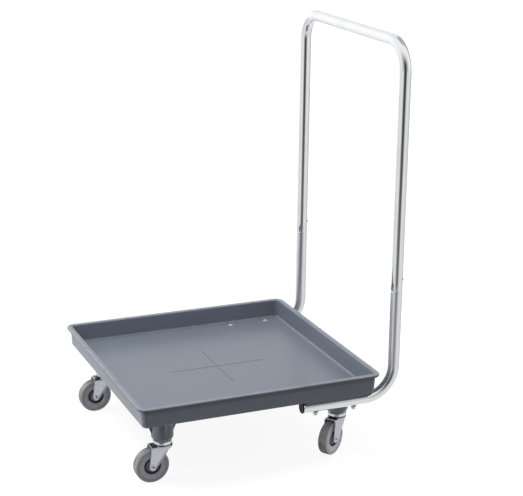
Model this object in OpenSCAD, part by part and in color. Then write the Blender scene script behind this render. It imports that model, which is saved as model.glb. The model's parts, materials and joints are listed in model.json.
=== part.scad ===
// Glass rack dolly: a square moulded tray on four swivel casters, with a two-piece tube handle.
// Millimetres, +Z up, floor at Z = 0, handle towards +Y, origin under the middle of the whole object.
// Left and right are as seen by the person who pushes it, so left is +X.

/* [Tray] */
// Side of the square tray, over the rim
tray_size = 555; // [520:1:640]
// Height of the tray from its underside to the rim
tray_h = 46; // [38:0.5:70]
// Thickness of the tray wall
wall_t = 4.5; // [3:0.1:6]
// How far the wall leans out between floor and rim
wall_lean = 2.5; // [1:0.1:5]
// Thickness of the tray floor
floor_t = 4; // [3.5:0.1:6]
// How far the rim lip reaches out past the wall
lip_reach = 8; // [5:0.5:12]
// Thickness of the rim lip
lip_t = 6; // [5:0.5:9]
// Rounding of the lip's edges
lip_round = 2; // [0.5:0.1:2.2]
// Inside corner radius at the floor
corner_r = 6; // [4:0.5:30]
// Fillet between wall and floor, inside
floor_fillet = 5; // [2:0.5:8]
// Rounding between wall and underside, outside
foot_round = 4.5; // [2:0.5:8]

/* [Floor cross] */
// Length of the fine floor line along X
cross_x = 208; // [100:1:300]
// Length of the fine floor line along Y
cross_y = 230; // [100:1:300]
// Width of the floor lines
cross_w = 1.6; // [1:0.1:3]
// Depth of the floor lines
cross_depth = 0.5; // [0.3:0.1:1]
// Thickness of the ribs below the floor lines
rib_t = 3; // [2:0.1:5]
// Depth of the ribs below the floor lines
rib_h = 10; // [5:0.5:20]

/* [Caster bosses] */
// Distance from the rim's edge in to a caster's axis
boss_inset = 72.5; // [66:0.5:110]
// Diameter of a boss
boss_d = 48; // [44:0.5:56]
// Length of a boss below the tray
boss_drop = 56.5; // [50:0.5:90]
// How far the lower end of a boss tapers in
boss_taper = 4.5; // [1:0.5:6]
// Height of that taper
boss_taper_h = 8; // [2:0.5:12]
// Thickness of the gussets round a boss
gusset_t = 5; // [3:0.5:8]
// How far a gusset reaches out from its boss
gusset_reach = 17; // [6:0.5:20]
// Height of a gusset
gusset_h = 40; // [15:0.5:45]

/* [Handle tube] */
// Outside diameter of the tube
tube_d = 25; // [22:0.1:28]
// Wall of the tube
tube_t = 1.5; // [1:0.1:2]
// Gap between a rear boss and the handle leg beside it
leg_gap = 5.5; // [3:0.5:12]
// Distance from the rear rim edge back to the uprights' axes
handle_setback = 42; // [34:0.5:80]
// Height of the push bar's axis above the rim
bar_rise = 715; // [500:1:850]
// Bend radius of the push bar's corners
bar_bend_r = 62; // [40:0.5:120]
// Bend radius where the legs turn up behind the tray
leg_bend_r = 68; // [50:0.5:75]
// How far the legs run forward under the tray from the rear rim edge
leg_run = 177.5; // [165:0.5:240]
// Height of the joint between legs and loop above the rim
joint_rise = 179; // [120:1:300]
// Length of the spigot inside the loop
spigot_len = 70; // [45:1:120]
// Length of the shoulder that the loop stands on
shoulder_len = 3; // [2:0.5:6]
// Gap between spigot and loop, all round
spigot_gap = 0.15; // [0.05:0.05:0.3]

/* [Handle saddles] */
// Width of a saddle
saddle_w = 30; // [26:0.5:36]
// Thickness of plastic between the tray's underside and the tube
saddle_seat = 4; // [2:0.5:8]
// How far a saddle wraps down past the top of the tube
saddle_wrap = 5; // [2:0.5:9]
// Distance from a leg's front end to its saddle
saddle_start = 5; // [2:0.5:12]
// Gap between saddle and tube
saddle_gap = 0.2; // [0.1:0.05:0.5]

/* [Handle bolts] */
// Diameter of a bolt
bolt_d = 6; // [5:0.5:8]
// Gap round a bolt in its holes
bolt_gap = 0.2; // [0.1:0.05:0.5]
// Diameter of a bolt head
bolt_head_d = 13; // [11:0.5:15]
// Height of a bolt head
bolt_head_h = 2.6; // [2:0.1:3.5]
// Width across flats of the key socket in a bolt head
bolt_key = 4; // [3:0.5:5]
// Depth of the key socket
bolt_key_depth = 1.4; // [0.8:0.1:1.6]
// Gap round a bolt head in its recess
recess_gap = 1; // [0.5:0.1:1.5]
// How far a bolt head lies below the tray floor
head_sink = 0.4; // [0.2:0.1:1]
// Distance from a leg's front end to its first bolt
bolt_start = 32; // [20:0.5:40]
// Distance between the two bolts of a leg
bolt_pitch = 92; // [60:0.5:100]
// Diameter of a washer
washer_d = 13; // [12:0.5:18]
// Thickness of a washer
washer_t = 1.2; // [0.8:0.1:2]
// Width across flats of a dome nut
nut_w = 10; // [9.5:0.5:13]
// Height of a dome nut's hexagon
nut_h = 4; // [3.5:0.5:8]
// How far a bolt reaches past the hexagon into the dome
bolt_past = 2; // [1:0.1:2.4]

/* [Leg plugs] */
// Thickness of a plug's cap
plug_cap = 2.5; // [1.5:0.1:4]
// Length of a plug inside the tube
plug_len = 18; // [10:0.5:24]
// Wall of a plug
plug_wall = 2.5; // [1.5:0.1:4]

/* [Snap buttons] */
// Diameter of a snap button
button_d = 7; // [5:0.5:8]
// How far a button stands out of the tube
button_proud = 3; // [2:0.1:3.5]
// Height of a button above the joint
button_rise = 24; // [16:0.5:34]
// Gap round a button in its holes
button_gap = 0.25; // [0.15:0.05:0.4]
// Diameter of a button's flange inside the spigot
button_flange_d = 10; // [9:0.5:11]
// Thickness of that flange
button_flange_t = 1; // [0.6:0.1:2]
// Thickness of the leaf spring
spring_t = 0.5; // [0.3:0.1:0.8]
// Width of the leaf spring
spring_w = 5; // [3:0.5:6]
// Length of the leaf spring's arms below the button
spring_len = 20; // [12:0.5:26]

/* [Wheels] */
// Wheel diameter over the tyre
wheel_d = 75; // [65:0.5:100]
// Width of a tyre
tyre_w = 21; // [18:0.5:22]
// Rounding of a tyre's edges
tyre_round = 3; // [1.5:0.5:6]
// Diameter of the hub inside the tyre
hub_d = 38; // [34:0.5:44]
// Width of the hub's rim
hub_rim_w = 18; // [14:0.5:18]
// Thickness of the hub's rim
hub_rim_t = 3.5; // [2:0.5:5]
// Thickness of the hub's web
hub_web_t = 8; // [5:0.5:12]
// Diameter of the hub's middle boss
hub_boss_d = 18; // [16:0.5:22]
// Width of the hub's middle boss
hub_boss_w = 24; // [22:0.5:28]
// Height of the ring that locks the tyre on the hub
lock_h = 4.5; // [2:0.5:8]
// Width of that ring
lock_w = 8; // [4:0.5:12]
// Distance from the tread in to the fine line round a tyre's side
line_inset = 7.5; // [6:0.5:10]
// Diameter of the fine line's round bottom
line_d = 1.6; // [0.8:0.1:2.4]

/* [Axles] */
// Diameter of an axle rivet
axle_d = 8; // [6:0.5:9]
// Outside diameter of the sleeve that the wheel turns on
sleeve_d = 12; // [11:0.5:14]
// Running gap between sleeve and hub, and between stem and fork
run_gap = 0.05; // [0.02:0.01:0.1]
// Diameter of a rivet's heads
rivet_head_d = 10.5; // [10:0.5:14]
// Height of a rivet's heads
rivet_head_h = 1.2; // [0.8:0.1:3]
// Diameter of the hollow in a rivet's heads
rivet_hollow_d = 4.6; // [3:0.1:5]
// Depth of that hollow
rivet_hollow = 2.4; // [1:0.1:4]

/* [Forks] */
// Thickness of the fork's sheet
fork_t = 2.5; // [2:0.1:3.5]
// Outside bend radius between crown and legs
fork_bend_r = 6; // [4:0.5:8]
// Gap between hub and fork leg
side_gap = 0.4; // [0.2:0.1:1]
// Gap between wheel and crown
wheel_gap = 5; // [4:0.5:12]
// Distance from the swivel axis back to the axle
trail = 25; // [20:0.5:30]
// Radius of a leg's lower end
tip_r = 8.5; // [7.5:0.5:11]
// How far the crown reaches past the axle at the front
crown_past = 3.5; // [2:0.5:7]
// How far the crown reaches behind the swivel axis
crown_rear = 22; // [21:0.5:26]
// How far a leg's top reaches behind the swivel axis
leg_rear = 12; // [6:0.5:16]
// Depth of the crown's turned down edge
crown_edge = 6.5; // [5:0.5:9]

/* [Swivels] */
// Height of the swivel between crown and boss
swivel_h = 10; // [9:0.5:16]
// Diameter of a stem
stem_d = 12; // [10:0.5:13]
// Outside diameter of a stem socket
socket_d = 18; // [16:0.5:22]
// Length of a stem socket
socket_len = 44; // [35:0.5:48]
// Length of the stem inside its socket
stem_reach = 40; // [25:0.5:43]
// Diameter of the upper cup
cup_d = 41; // [40:0.5:44]
// Thickness of the cup's skirt
cup_skirt = 1.6; // [1:0.1:2.2]
// Height of the gap under the cup's skirt
cup_gap = 1.2; // [0.8:0.1:1.6]
// Diameter of the crown's raised race
race_d = 40; // [38.5:0.5:41]
// Height of the crown's raised race
race_h = 1.8; // [1.4:0.1:2.2]
// Diameter of a ball
ball_d = 5; // [4.5:0.1:5.5]
// Diameter of the circle that the balls run on
ball_circle_d = 28; // [26:0.5:29]
// Number of balls in a swivel
ball_count = 12; // [6:1:14]
// Thickness of crown left under the balls
ball_seat = 0.6; // [0.4:0.1:1]
// Gap between balls and cup
ball_gap = 0.3; // [0.2:0.05:0.4]
// Thickness of the king washer
king_washer_t = 1.5; // [1:0.1:2]
// Diameter of the king washer
king_washer_d = 20; // [17:0.5:22]
// Diameter of the stem's peened end
peen_d = 17; // [15:0.5:18]
// Height of the stem's peened end
peen_h = 2.5; // [1.5:0.1:3]
// Gap between king washer and crown
king_gap = 0.2; // [0.1:0.05:0.4]

/* [Caster angles] */
// Angle in degrees that the front left caster is turned by
front_left_angle = 0; // [-180:1:180]
// Angle in degrees that the front right caster is turned by
front_right_angle = 0; // [-180:1:180]
// Angle in degrees that the rear left caster is turned by
rear_left_angle = 33; // [-180:1:180]
// Angle in degrees that the rear right caster is turned by
rear_right_angle = 12; // [-180:1:180]

/* [Hidden] */
$fn = 64;
// Gap between pieces that are pressed or moulded together
fit_gap = 0.05;
// Depth by which joined shapes of one piece run into each other
sink = 1;

// Heights above the floor, from the wheels up
z_axle = wheel_d / 2;
z_crown = wheel_d + wheel_gap + fork_t;
z_boss = z_crown + swivel_h;
z_tray = z_boss + boss_drop;
z_floor = z_tray + floor_t;
z_rim = z_tray + tray_h;
z_leg = z_tray - saddle_seat - tube_d / 2;
z_joint = z_rim + joint_rise;
z_button = z_joint + button_rise;
z_bar = z_rim + bar_rise;

// Places along Y, with the whole object centred on the origin
tray_y = -(handle_setback + tube_d / 2 + button_proud) / 2;
rear_edge_y = tray_y + tray_size / 2;
upright_y = rear_edge_y + handle_setback;
leg_front_y = rear_edge_y - leg_run;
bend_y = upright_y - leg_bend_r;
bolt_y = [leg_front_y + bolt_start, leg_front_y + bolt_start + bolt_pitch];

// Places along X
boss_xy = tray_size / 2 - boss_inset;
upright_x = boss_xy + boss_d / 2 + leg_gap + tube_d / 2;

// Tray wall, as distances out from the centre of a rounded corner
lean = atan(wall_lean / (tray_h - floor_t));
wall_in_top = corner_r + wall_lean;
wall_out_top = wall_in_top + wall_t;
wall_out_foot = corner_r + wall_t - floor_t * tan(lean);
rim_r = wall_out_top + lip_reach;
corner_c = tray_size / 2 - rim_r;
fillet = min(floor_fillet, corner_r - sink / 2);
pan_r = corner_r - fillet / tan(45 + lean / 2);
foot = min(foot_round, wall_out_foot - pan_r - sink / 2);

// Handle tube and spigot radii
tube_r = tube_d / 2;
tube_in_r = tube_r - tube_t;
spigot_r = tube_in_r - spigot_gap;
spigot_in_r = spigot_r - tube_t;

// Snap button, as distances out from the upright's axis
button_r = button_d / 2;
flange_front = sqrt(spigot_in_r ^ 2 - (button_flange_d / 2) ^ 2) - button_gap;
flange_back = flange_front - button_flange_t;
button_tip = tube_r + button_proud;

// Bolt stack, from the tray floor down
z_head_top = z_floor - head_sink;
z_head = z_head_top - bolt_head_h;
z_washer = z_leg - tube_r - washer_t;
z_nut = z_washer - nut_h;

// Fork, from the wheel's middle out
fork_in = hub_boss_w / 2 + side_gap;
fork_out = fork_in + fork_t;
crown_front = trail + crown_past;

// Swivel, from the crown up and down
z_race = z_crown + race_h;
z_ball = z_crown + ball_seat + fit_gap + ball_d / 2;
z_skirt = z_race + cup_gap;
z_cup_face = z_ball + ball_d / 4;
skirt_in_r = cup_d / 2 - cup_skirt;
dust_out_r = skirt_in_r - ball_gap;
dust_in_r = (ball_circle_d + ball_d) / 2 + ball_gap;
z_king = z_crown - fork_t - king_gap;

tray_grey = "#78808c";
chrome = "#c9ccd1";
plated = "#b9bcc4";
rubber_grey = "#807e84";
hub_dark = "#3a383f";
black = "#1c1c1f";

// Caster name, side in X, end in Y and angle
CASTERS = [
    ["front_left", 1, -1, front_left_angle],
    ["front_right", -1, -1, front_right_angle],
    ["rear_left", 1, 1, rear_left_angle],
    ["rear_right", -1, 1, rear_right_angle],
];
CASTER_PIECES = [
    "stem_socket", "stem", "swivel_cup", "swivel_balls", "dust_ring", "king_washer",
    "fork", "axle_rivet", "axle_sleeve", "wheel_hub", "tyre",
];

// Point where a line from p touches a circle, on the side given by +1 or -1
function touch_point(p, centre, r, side) =
    let (
        d = p - centre,
        a = atan2(d[1], d[0]) + side * acos(r / norm(d))
    )
    centre + r * [cos(a), sin(a)];

// Area between the corner v of floor and leaning wall and a round of radius r in that corner
module corner_patch(v, r) {
    t = r / tan(45 + lean / 2);
    centre = v + [-t, r];
    difference() {
        polygon([v, v + [-t, 0], centre, v + t * [sin(lean), cos(lean)]]);
        translate(centre) circle(r);
    }
}

// Section through a tray wall, out from the flat floor: x from the corner's centre, y from the underside
module wall_section() {
    difference() {
        union() {
            polygon([
                [pan_r, 0], [wall_out_foot, 0], [wall_out_top, tray_h],
                [wall_in_top, tray_h], [corner_r, floor_t], [pan_r, floor_t],
            ]);
            lip_section();
            corner_patch([corner_r, floor_t], fillet);
        }
        corner_patch([wall_out_foot, 0], foot);
        translate([wall_in_top, tray_h]) rotate(180) corner_patch([0, 0], lip_round);
    }
}

// Section through the rim lip, with round outer edges
module lip_section() {
    root = wall_out_top - wall_t / 2;
    low = tray_h - lip_t;
    translate([root, low]) square([rim_r - lip_round - root, lip_t]);
    translate([root, low + lip_round]) square([rim_r - root, lip_t - 2 * lip_round]);
    for (y = [low + lip_round, tray_h - lip_round])
        translate([rim_r - lip_round, y]) circle(lip_round);
}

// Carries a section along one side of the square: 0 is left, 1 rear, 2 right and 3 front
module along_side(i) {
    rotate(90 * i) translate([corner_c, corner_c, 0]) rotate([90, 0, 0])
        linear_extrude(2 * corner_c) children();
}

// Carries a section round the corner between that side and the next
module round_corner(i) {
    rotate(90 * i) translate([corner_c, corner_c, 0]) rotate_extrude(angle = 90) children();
}

// Flat floor inside the walls
module pan() {
    for (i = [0:3]) {
        along_side(i) square([pan_r, floor_t]);
        round_corner(i) square([pan_r, floor_t]);
    }
    translate([-corner_c, -corner_c, 0]) cube([2 * corner_c, 2 * corner_c, floor_t]);
}

// One caster boss with its four gussets, hanging from the underside
module boss() {
    r = boss_d / 2;
    rotate_extrude()
        polygon([
            [0, sink], [r, sink], [r, boss_taper_h - boss_drop],
            [r - boss_taper, -boss_drop], [0, -boss_drop],
        ]);
    for (i = [0:3])
        rotate([90, 0, 90 * i]) translate([r - sink, 0, -gusset_t / 2])
            linear_extrude(gusset_t)
                polygon([
                    [0, sink], [gusset_reach + sink, sink], [gusset_reach + sink, 0],
                    [sink, -gusset_h], [0, -gusset_h],
                ]);
}

// Saddle block for one handle leg, before the tube's groove is cut
module saddle_block() {
    depth = saddle_seat + saddle_wrap;
    length = bend_y - leg_front_y - saddle_start;
    translate([upright_x - saddle_w / 2, leg_front_y - tray_y + saddle_start, -depth]) {
        cube([saddle_w, length, depth]);
        cube([saddle_w / 2, length, depth + sink]);
    }
}

// Space for one leg and its bolts in the tray
module leg_space() {
    translate([upright_x, leg_front_y - tray_y, z_leg - z_tray]) rotate([-90, 0, 0])
        cylinder(r = tube_r + saddle_gap, h = bend_y - leg_front_y + sink);
    for (y = bolt_y)
        translate([upright_x, y - tray_y, 0]) {
            translate([0, 0, z_leg - z_tray])
                cylinder(d = bolt_d + 2 * bolt_gap, h = z_floor - z_leg + sink);
            translate([0, 0, z_head - z_tray])
                cylinder(d = bolt_head_d + 2 * recess_gap, h = z_floor - z_head + sink);
        }
}

// Floor of the tray moulding, with all that hangs below it
module tray() {
    color(tray_grey) translate([0, tray_y, z_tray])
        difference() {
            union() {
                pan();
                for (x = [-1, 1], y = [-1, 1]) translate([x * boss_xy, y * boss_xy, 0]) boss();
                for (side = [0, 1]) mirror([side, 0, 0]) saddle_block();
                translate([-cross_x / 2, -rib_t / 2, -rib_h]) cube([cross_x, rib_t, rib_h + sink]);
                translate([-rib_t / 2, -cross_y / 2, -rib_h]) cube([rib_t, cross_y, rib_h + sink]);
            }
            for (side = [0, 1]) mirror([side, 0, 0]) leg_space();
            for (x = [-1, 1], y = [-1, 1])
                translate([x * boss_xy, y * boss_xy, -boss_drop - sink])
                    cylinder(d = socket_d + 2 * fit_gap, h = socket_len + fit_gap + sink);
            translate([-cross_x / 2, -cross_w / 2, floor_t - cross_depth])
                cube([cross_x, cross_w, cross_depth + sink]);
            translate([-cross_w / 2, -cross_y / 2, floor_t - cross_depth])
                cube([cross_w, cross_y, cross_depth + sink]);
        }
}

// Left and right walls of the tray moulding, between its corners
module tray_side_walls() {
    color(tray_grey) translate([0, tray_y, z_tray])
        for (i = [0, 2]) along_side(i) wall_section();
}

// Front and rear walls of the tray moulding, each with its two corners
module tray_end_walls() {
    color(tray_grey) translate([0, tray_y, z_tray])
        for (i = [1, 3]) {
            along_side(i) wall_section();
            for (k = [i - 1, i]) round_corner(k) wall_section();
        }
}

// Ring section of a tube
module ring(out_r, in_r) {
    difference() {
        circle(out_r);
        circle(in_r);
    }
}

// Quarter bend of the handle tube about Z, from +X to +Y
module tube_bend(r) {
    rotate_extrude(angle = 90) translate([r, 0]) ring(tube_r, tube_in_r);
}

// Hole for the snap button in an upright at x
module button_hole(x) {
    translate([x, upright_y, z_button]) rotate([-90, 0, 0])
        cylinder(d = button_d + 2 * button_gap, h = tube_d);
}

module handle_loop() {
    corner_x = upright_x - bar_bend_r;
    color(chrome) difference() {
        union() {
            for (side = [0, 1]) mirror([side, 0, 0]) {
                translate([upright_x, upright_y, z_joint])
                    linear_extrude(z_bar - bar_bend_r - z_joint) ring(tube_r, tube_in_r);
                translate([corner_x, upright_y, z_bar - bar_bend_r]) rotate([90, 0, 0])
                    tube_bend(bar_bend_r);
            }
            translate([-corner_x, upright_y, z_bar]) rotate([0, 90, 0])
                linear_extrude(2 * corner_x) ring(tube_r, tube_in_r);
        }
        for (x = [-upright_x, upright_x]) button_hole(x);
    }
}

// Lower handle tube on the side given by +1 or -1
module handle_leg(side) {
    x = side * upright_x;
    color(chrome) difference() {
        union() {
            translate([x, leg_front_y, z_leg]) rotate([-90, 0, 0])
                linear_extrude(bend_y - leg_front_y) ring(tube_r, tube_in_r);
            translate([x, bend_y, z_leg + leg_bend_r]) rotate([0, 90, 0]) tube_bend(leg_bend_r);
            translate([x, upright_y, z_leg + leg_bend_r])
                linear_extrude(z_joint - z_leg - leg_bend_r) ring(tube_r, tube_in_r);
            translate([x, upright_y, z_joint - shoulder_len])
                linear_extrude(shoulder_len) ring(tube_r, spigot_in_r);
            translate([x, upright_y, z_joint - shoulder_len])
                linear_extrude(spigot_len + shoulder_len) ring(spigot_r, spigot_in_r);
        }
        for (y = bolt_y)
            translate([x, y, z_leg - tube_d]) cylinder(d = bolt_d + 2 * bolt_gap, h = 2 * tube_d);
        button_hole(x);
    }
}

// Plug in the front end of a leg
module leg_plug(side) {
    body_r = tube_in_r - fit_gap;
    color(black) translate([side * upright_x, leg_front_y, z_leg]) rotate([-90, 0, 0])
        rotate_extrude()
            difference() {
                union() {
                    translate([0, -plug_cap]) square([tube_r - plug_cap / 2, plug_cap]);
                    translate([0, -plug_cap / 2]) square([tube_r, plug_cap / 2]);
                    intersection() {
                        translate([tube_r - plug_cap / 2, -plug_cap / 2]) circle(plug_cap / 2);
                        translate([0, -plug_cap]) square([tube_r, plug_cap]);
                    }
                    square([body_r, plug_len]);
                }
                square([body_r - plug_wall, plug_len + sink]);
            }
}

// The four places where a bolt passes through a leg
module at_bolts() {
    for (x = [-upright_x, upright_x], y = bolt_y) translate([x, y, 0]) children();
}

module handle_bolts() {
    head_r = bolt_head_d / 2;
    color(chrome) at_bolts()
        difference() {
            union() {
                translate([0, 0, z_head]) cylinder(r = head_r, h = bolt_head_h / 2);
                translate([0, 0, z_head + bolt_head_h / 2])
                    cylinder(r1 = head_r, r2 = head_r - bolt_head_h / 2, h = bolt_head_h / 2);
                translate([0, 0, z_nut - bolt_past])
                    cylinder(d = bolt_d, h = z_head + sink - z_nut + bolt_past);
            }
            translate([0, 0, z_head_top - bolt_key_depth])
                cylinder(d = bolt_key / cos(30), h = bolt_key_depth + sink, $fn = 6);
        }
}

module bolt_washers() {
    color(plated) at_bolts()
        translate([0, 0, z_washer]) linear_extrude(washer_t) ring(washer_d / 2, bolt_d / 2 + bolt_gap);
}

module dome_nuts() {
    dome_r = nut_w / 2 - fit_gap;
    color(chrome) at_bolts()
        difference() {
            union() {
                translate([0, 0, z_nut]) cylinder(d = nut_w / cos(30), h = nut_h, $fn = 6);
                intersection() {
                    translate([0, 0, z_nut]) sphere(dome_r);
                    translate([0, 0, z_nut - dome_r]) cylinder(r = dome_r, h = dome_r + sink);
                }
            }
            translate([0, 0, z_nut - bolt_past - fit_gap])
                cylinder(d = bolt_d + 2 * fit_gap, h = nut_h + bolt_past + sink);
        }
}

// Snap button on one side, pointing back out of the upright
module snap_button(side) {
    color(plated) translate([side * upright_x, upright_y, z_button]) rotate([-90, 0, 0]) {
        translate([0, 0, flange_back]) cylinder(d = button_flange_d, h = button_flange_t);
        translate([0, 0, flange_back]) cylinder(r = button_r, h = button_tip - button_r - flange_back);
        translate([0, 0, button_tip - button_r]) sphere(button_r);
    }
}

// Leaf spring bent like a hairpin, between the button and the far side of the spigot
module button_spring(side) {
    back = fit_gap - sqrt(spigot_in_r ^ 2 - (spring_w / 2) ^ 2);
    front = flange_back - fit_gap;
    bow_r = (front - back) / 2;
    arm_top = button_flange_d / 2;
    color(plated) translate([side * upright_x - spring_w / 2, upright_y, z_button]) rotate([90, 0, 90])
        linear_extrude(spring_w) {
            translate([front - spring_t, -spring_len]) square([spring_t, spring_len + arm_top]);
            translate([back, -spring_len]) square([spring_t, spring_len + arm_top]);
            translate([back + bow_r, -spring_len]) intersection() {
                ring(bow_r, bow_r - spring_t);
                translate([-bow_r, -bow_r]) square([2 * bow_r, bow_r]);
            }
        }
}

module stem_socket() {
    color(plated) translate([0, 0, z_boss])
        linear_extrude(socket_len) ring(socket_d / 2, stem_d / 2 + fit_gap);
}

module stem() {
    color(plated) {
        translate([0, 0, z_king - king_washer_t - peen_h]) cylinder(d = peen_d, h = peen_h);
        translate([0, 0, z_king - king_washer_t - peen_h])
            cylinder(d = stem_d, h = z_boss + stem_reach - z_king + king_washer_t + peen_h);
    }
}

// Upper cup with its ball race, hollowed from above as a pressed cup is
module swivel_cup() {
    out_r = cup_d / 2;
    edge = cup_skirt;
    hollow_in_r = stem_d / 2 + cup_skirt;
    color(plated) rotate_extrude()
        difference() {
            polygon([
                [stem_d / 2 + fit_gap, z_cup_face], [skirt_in_r, z_cup_face], [skirt_in_r, z_skirt],
                [out_r, z_skirt], [out_r, z_boss - edge], [out_r - edge, z_boss],
                [stem_d / 2 + fit_gap, z_boss],
            ]);
            translate([ball_circle_d / 2, z_ball]) circle(ball_d / 2 + ball_gap);
            translate([hollow_in_r, z_ball + ball_d / 2 + ball_gap + cup_skirt])
                square([skirt_in_r - cup_skirt - hollow_in_r, swivel_h]);
        }
}

module swivel_balls() {
    color(plated) for (i = [0:ball_count - 1])
        rotate(360 * i / ball_count) translate([ball_circle_d / 2, 0, z_ball]) sphere(d = ball_d);
}

module dust_ring() {
    color(black) translate([0, 0, z_race])
        linear_extrude(z_cup_face - ball_gap - z_race) ring(dust_out_r, dust_in_r);
}

module king_washer() {
    color(plated) translate([0, 0, z_king - king_washer_t])
        linear_extrude(king_washer_t) ring(king_washer_d / 2, stem_d / 2 + fit_gap);
}

// Arch of half width w, top z and corner radius r, from the floor up
module arch(w, z, r) {
    translate([-w, 0]) square([2 * w, z - r]);
    translate([r - w, 0]) square([2 * (w - r), z]);
    for (x = [r - w, w - r]) translate([x, z - r]) circle(r);
}

// Side outline of the fork: x along the caster, y up
module fork_outline() {
    tip = [-trail, z_axle];
    front = [-crown_front, z_crown];
    rear = [leg_rear, z_crown - crown_edge];
    polygon([
        front, touch_point(front, tip, tip_r, 1), tip, touch_point(rear, tip, tip_r, -1),
        rear, [leg_rear, z_crown],
    ]);
    translate(tip) circle(tip_r);
    translate([-crown_front, z_crown - crown_edge]) square([crown_front + crown_rear, crown_edge]);
}

// Pressed fork: crown and two legs of one sheet, with the lower race raised on the crown
module fork() {
    color(plated) difference() {
        union() {
            intersection() {
                translate([0, crown_rear, 0]) rotate([90, 0, 0]) linear_extrude(crown_front + crown_rear)
                    difference() {
                        arch(fork_out, z_crown, fork_bend_r);
                        arch(fork_in, z_crown - fork_t, fork_bend_r - fork_t);
                    }
                translate([-fork_out, 0, 0]) rotate([90, 0, 90])
                    linear_extrude(2 * fork_out) fork_outline();
                union() {
                    cylinder(r = crown_rear, h = z_crown);
                    translate([-fork_out, -crown_front - tip_r, 0])
                        cube([2 * fork_out, crown_front + tip_r, z_crown]);
                }
            }
            translate([0, 0, z_crown - fork_t]) cylinder(d = race_d, h = fork_t + race_h);
        }
        translate([0, 0, z_crown - 2 * fork_t]) cylinder(r = stem_d / 2 + run_gap, h = 4 * fork_t);
        rotate_extrude() translate([ball_circle_d / 2, z_ball]) circle(ball_d / 2 + fit_gap);
        translate([-fork_out - sink, -trail, z_axle]) rotate([0, 90, 0])
            cylinder(d = axle_d + 2 * fit_gap, h = 2 * (fork_out + sink));
    }
}

// Turns a section (x out from the axle, y along it) about the wheel's axle
module about_axle() {
    translate([0, -trail, z_axle]) rotate([0, 90, 0]) rotate_extrude() children();
}

module axle_rivet() {
    end = fork_out + rivet_head_h;
    head_r = rivet_head_d / 2;
    half = [
        [0, end - rivet_hollow], [rivet_hollow_d / 2, end - rivet_hollow], [rivet_hollow_d / 2, end],
        [head_r - rivet_head_h / 2, end], [head_r, end - rivet_head_h / 2], [head_r, fork_out],
        [axle_d / 2, fork_out],
    ];
    color(plated) about_axle()
        polygon(concat(half, [for (i = [len(half) - 1:-1:0]) [half[i][0], -half[i][1]]]));
}

module axle_sleeve() {
    half = fork_in - fit_gap;
    color(plated) about_axle()
        translate([axle_d / 2 + fit_gap, -half]) square([(sleeve_d - axle_d) / 2 - fit_gap, 2 * half]);
}

// Rectangle of a wheel section between two radii, w wide and centred on the wheel
module band(in_r, out_r, w) {
    translate([in_r, -w / 2]) square([out_r - in_r, w]);
}

module wheel_hub() {
    bore_r = sleeve_d / 2 + run_gap;
    hub_r = hub_d / 2;
    color(hub_dark) about_axle() {
        band(bore_r, hub_boss_d / 2, hub_boss_w);
        band(bore_r, hub_r, hub_web_t);
        band(hub_r - hub_rim_t, hub_r, hub_rim_w);
        band(bore_r, hub_r + lock_h, lock_w);
    }
}

module tyre() {
    in_r = hub_d / 2 + fit_gap;
    out_r = wheel_d / 2;
    half = tyre_w / 2;
    color(rubber_grey) about_axle()
        difference() {
            union() {
                band(in_r, out_r - tyre_round, tyre_w);
                band(in_r, out_r, tyre_w - 2 * tyre_round);
                for (y = [-1, 1])
                    translate([out_r - tyre_round, y * (half - tyre_round)]) circle(tyre_round);
            }
            band(0, in_r + lock_h, lock_w + 2 * fit_gap);
            for (y = [-half, half]) translate([out_r - line_inset, y]) circle(d = line_d);
        }
}

// Stands a caster piece at its corner, turned as that caster stands
module at_caster(c) {
    translate([c[1] * boss_xy, tray_y + c[2] * boss_xy, 0]) rotate(c[3]) children();
}

tray();
tray_side_walls();
tray_end_walls();
handle_loop();
handle_leg(1);  // handle_leg_left
handle_leg(-1);  // handle_leg_right
leg_plug(1);  // leg_plug_left
leg_plug(-1);  // leg_plug_right
handle_bolts();
bolt_washers();
dome_nuts();
snap_button(1);  // snap_button_left
snap_button(-1);  // snap_button_right
button_spring(1);  // button_spring_left
button_spring(-1);  // button_spring_right
for (c = CASTERS) {
    at_caster(c) stem_socket();
    at_caster(c) stem();
    at_caster(c) swivel_cup();
    at_caster(c) swivel_balls();
    at_caster(c) dust_ring();
    at_caster(c) king_washer();
    at_caster(c) fork();
    at_caster(c) axle_rivet();
    at_caster(c) axle_sleeve();
    at_caster(c) wheel_hub();
    at_caster(c) tyre();
}
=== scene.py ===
"""Dresses the packed glass rack dolly: moulded tray, tube handle, casters and a plain studio."""

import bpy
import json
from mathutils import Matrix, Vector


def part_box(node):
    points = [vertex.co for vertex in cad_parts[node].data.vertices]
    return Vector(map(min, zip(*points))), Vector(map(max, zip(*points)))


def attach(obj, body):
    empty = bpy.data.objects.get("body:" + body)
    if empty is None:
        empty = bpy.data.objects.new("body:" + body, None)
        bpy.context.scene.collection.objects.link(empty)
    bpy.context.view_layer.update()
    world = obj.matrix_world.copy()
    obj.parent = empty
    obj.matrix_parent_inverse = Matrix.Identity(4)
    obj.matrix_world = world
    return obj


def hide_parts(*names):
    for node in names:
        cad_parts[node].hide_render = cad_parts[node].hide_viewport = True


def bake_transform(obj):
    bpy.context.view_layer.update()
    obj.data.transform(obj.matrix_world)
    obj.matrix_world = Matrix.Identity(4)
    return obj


bl_info = {
    "name": "Glass Rack Dolly",
    "version": (1, 0, 0),
    "blender": (4, 5, 0),
    "location": "View3D > Sidebar > Dolly",
    "description": "Builds a glass rack dolly's tray, handle and casters round its packed frame",
    "category": "Add Mesh",
}

import json
import math

import bmesh
import bpy
import numpy as np
from mathutils import Matrix

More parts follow.
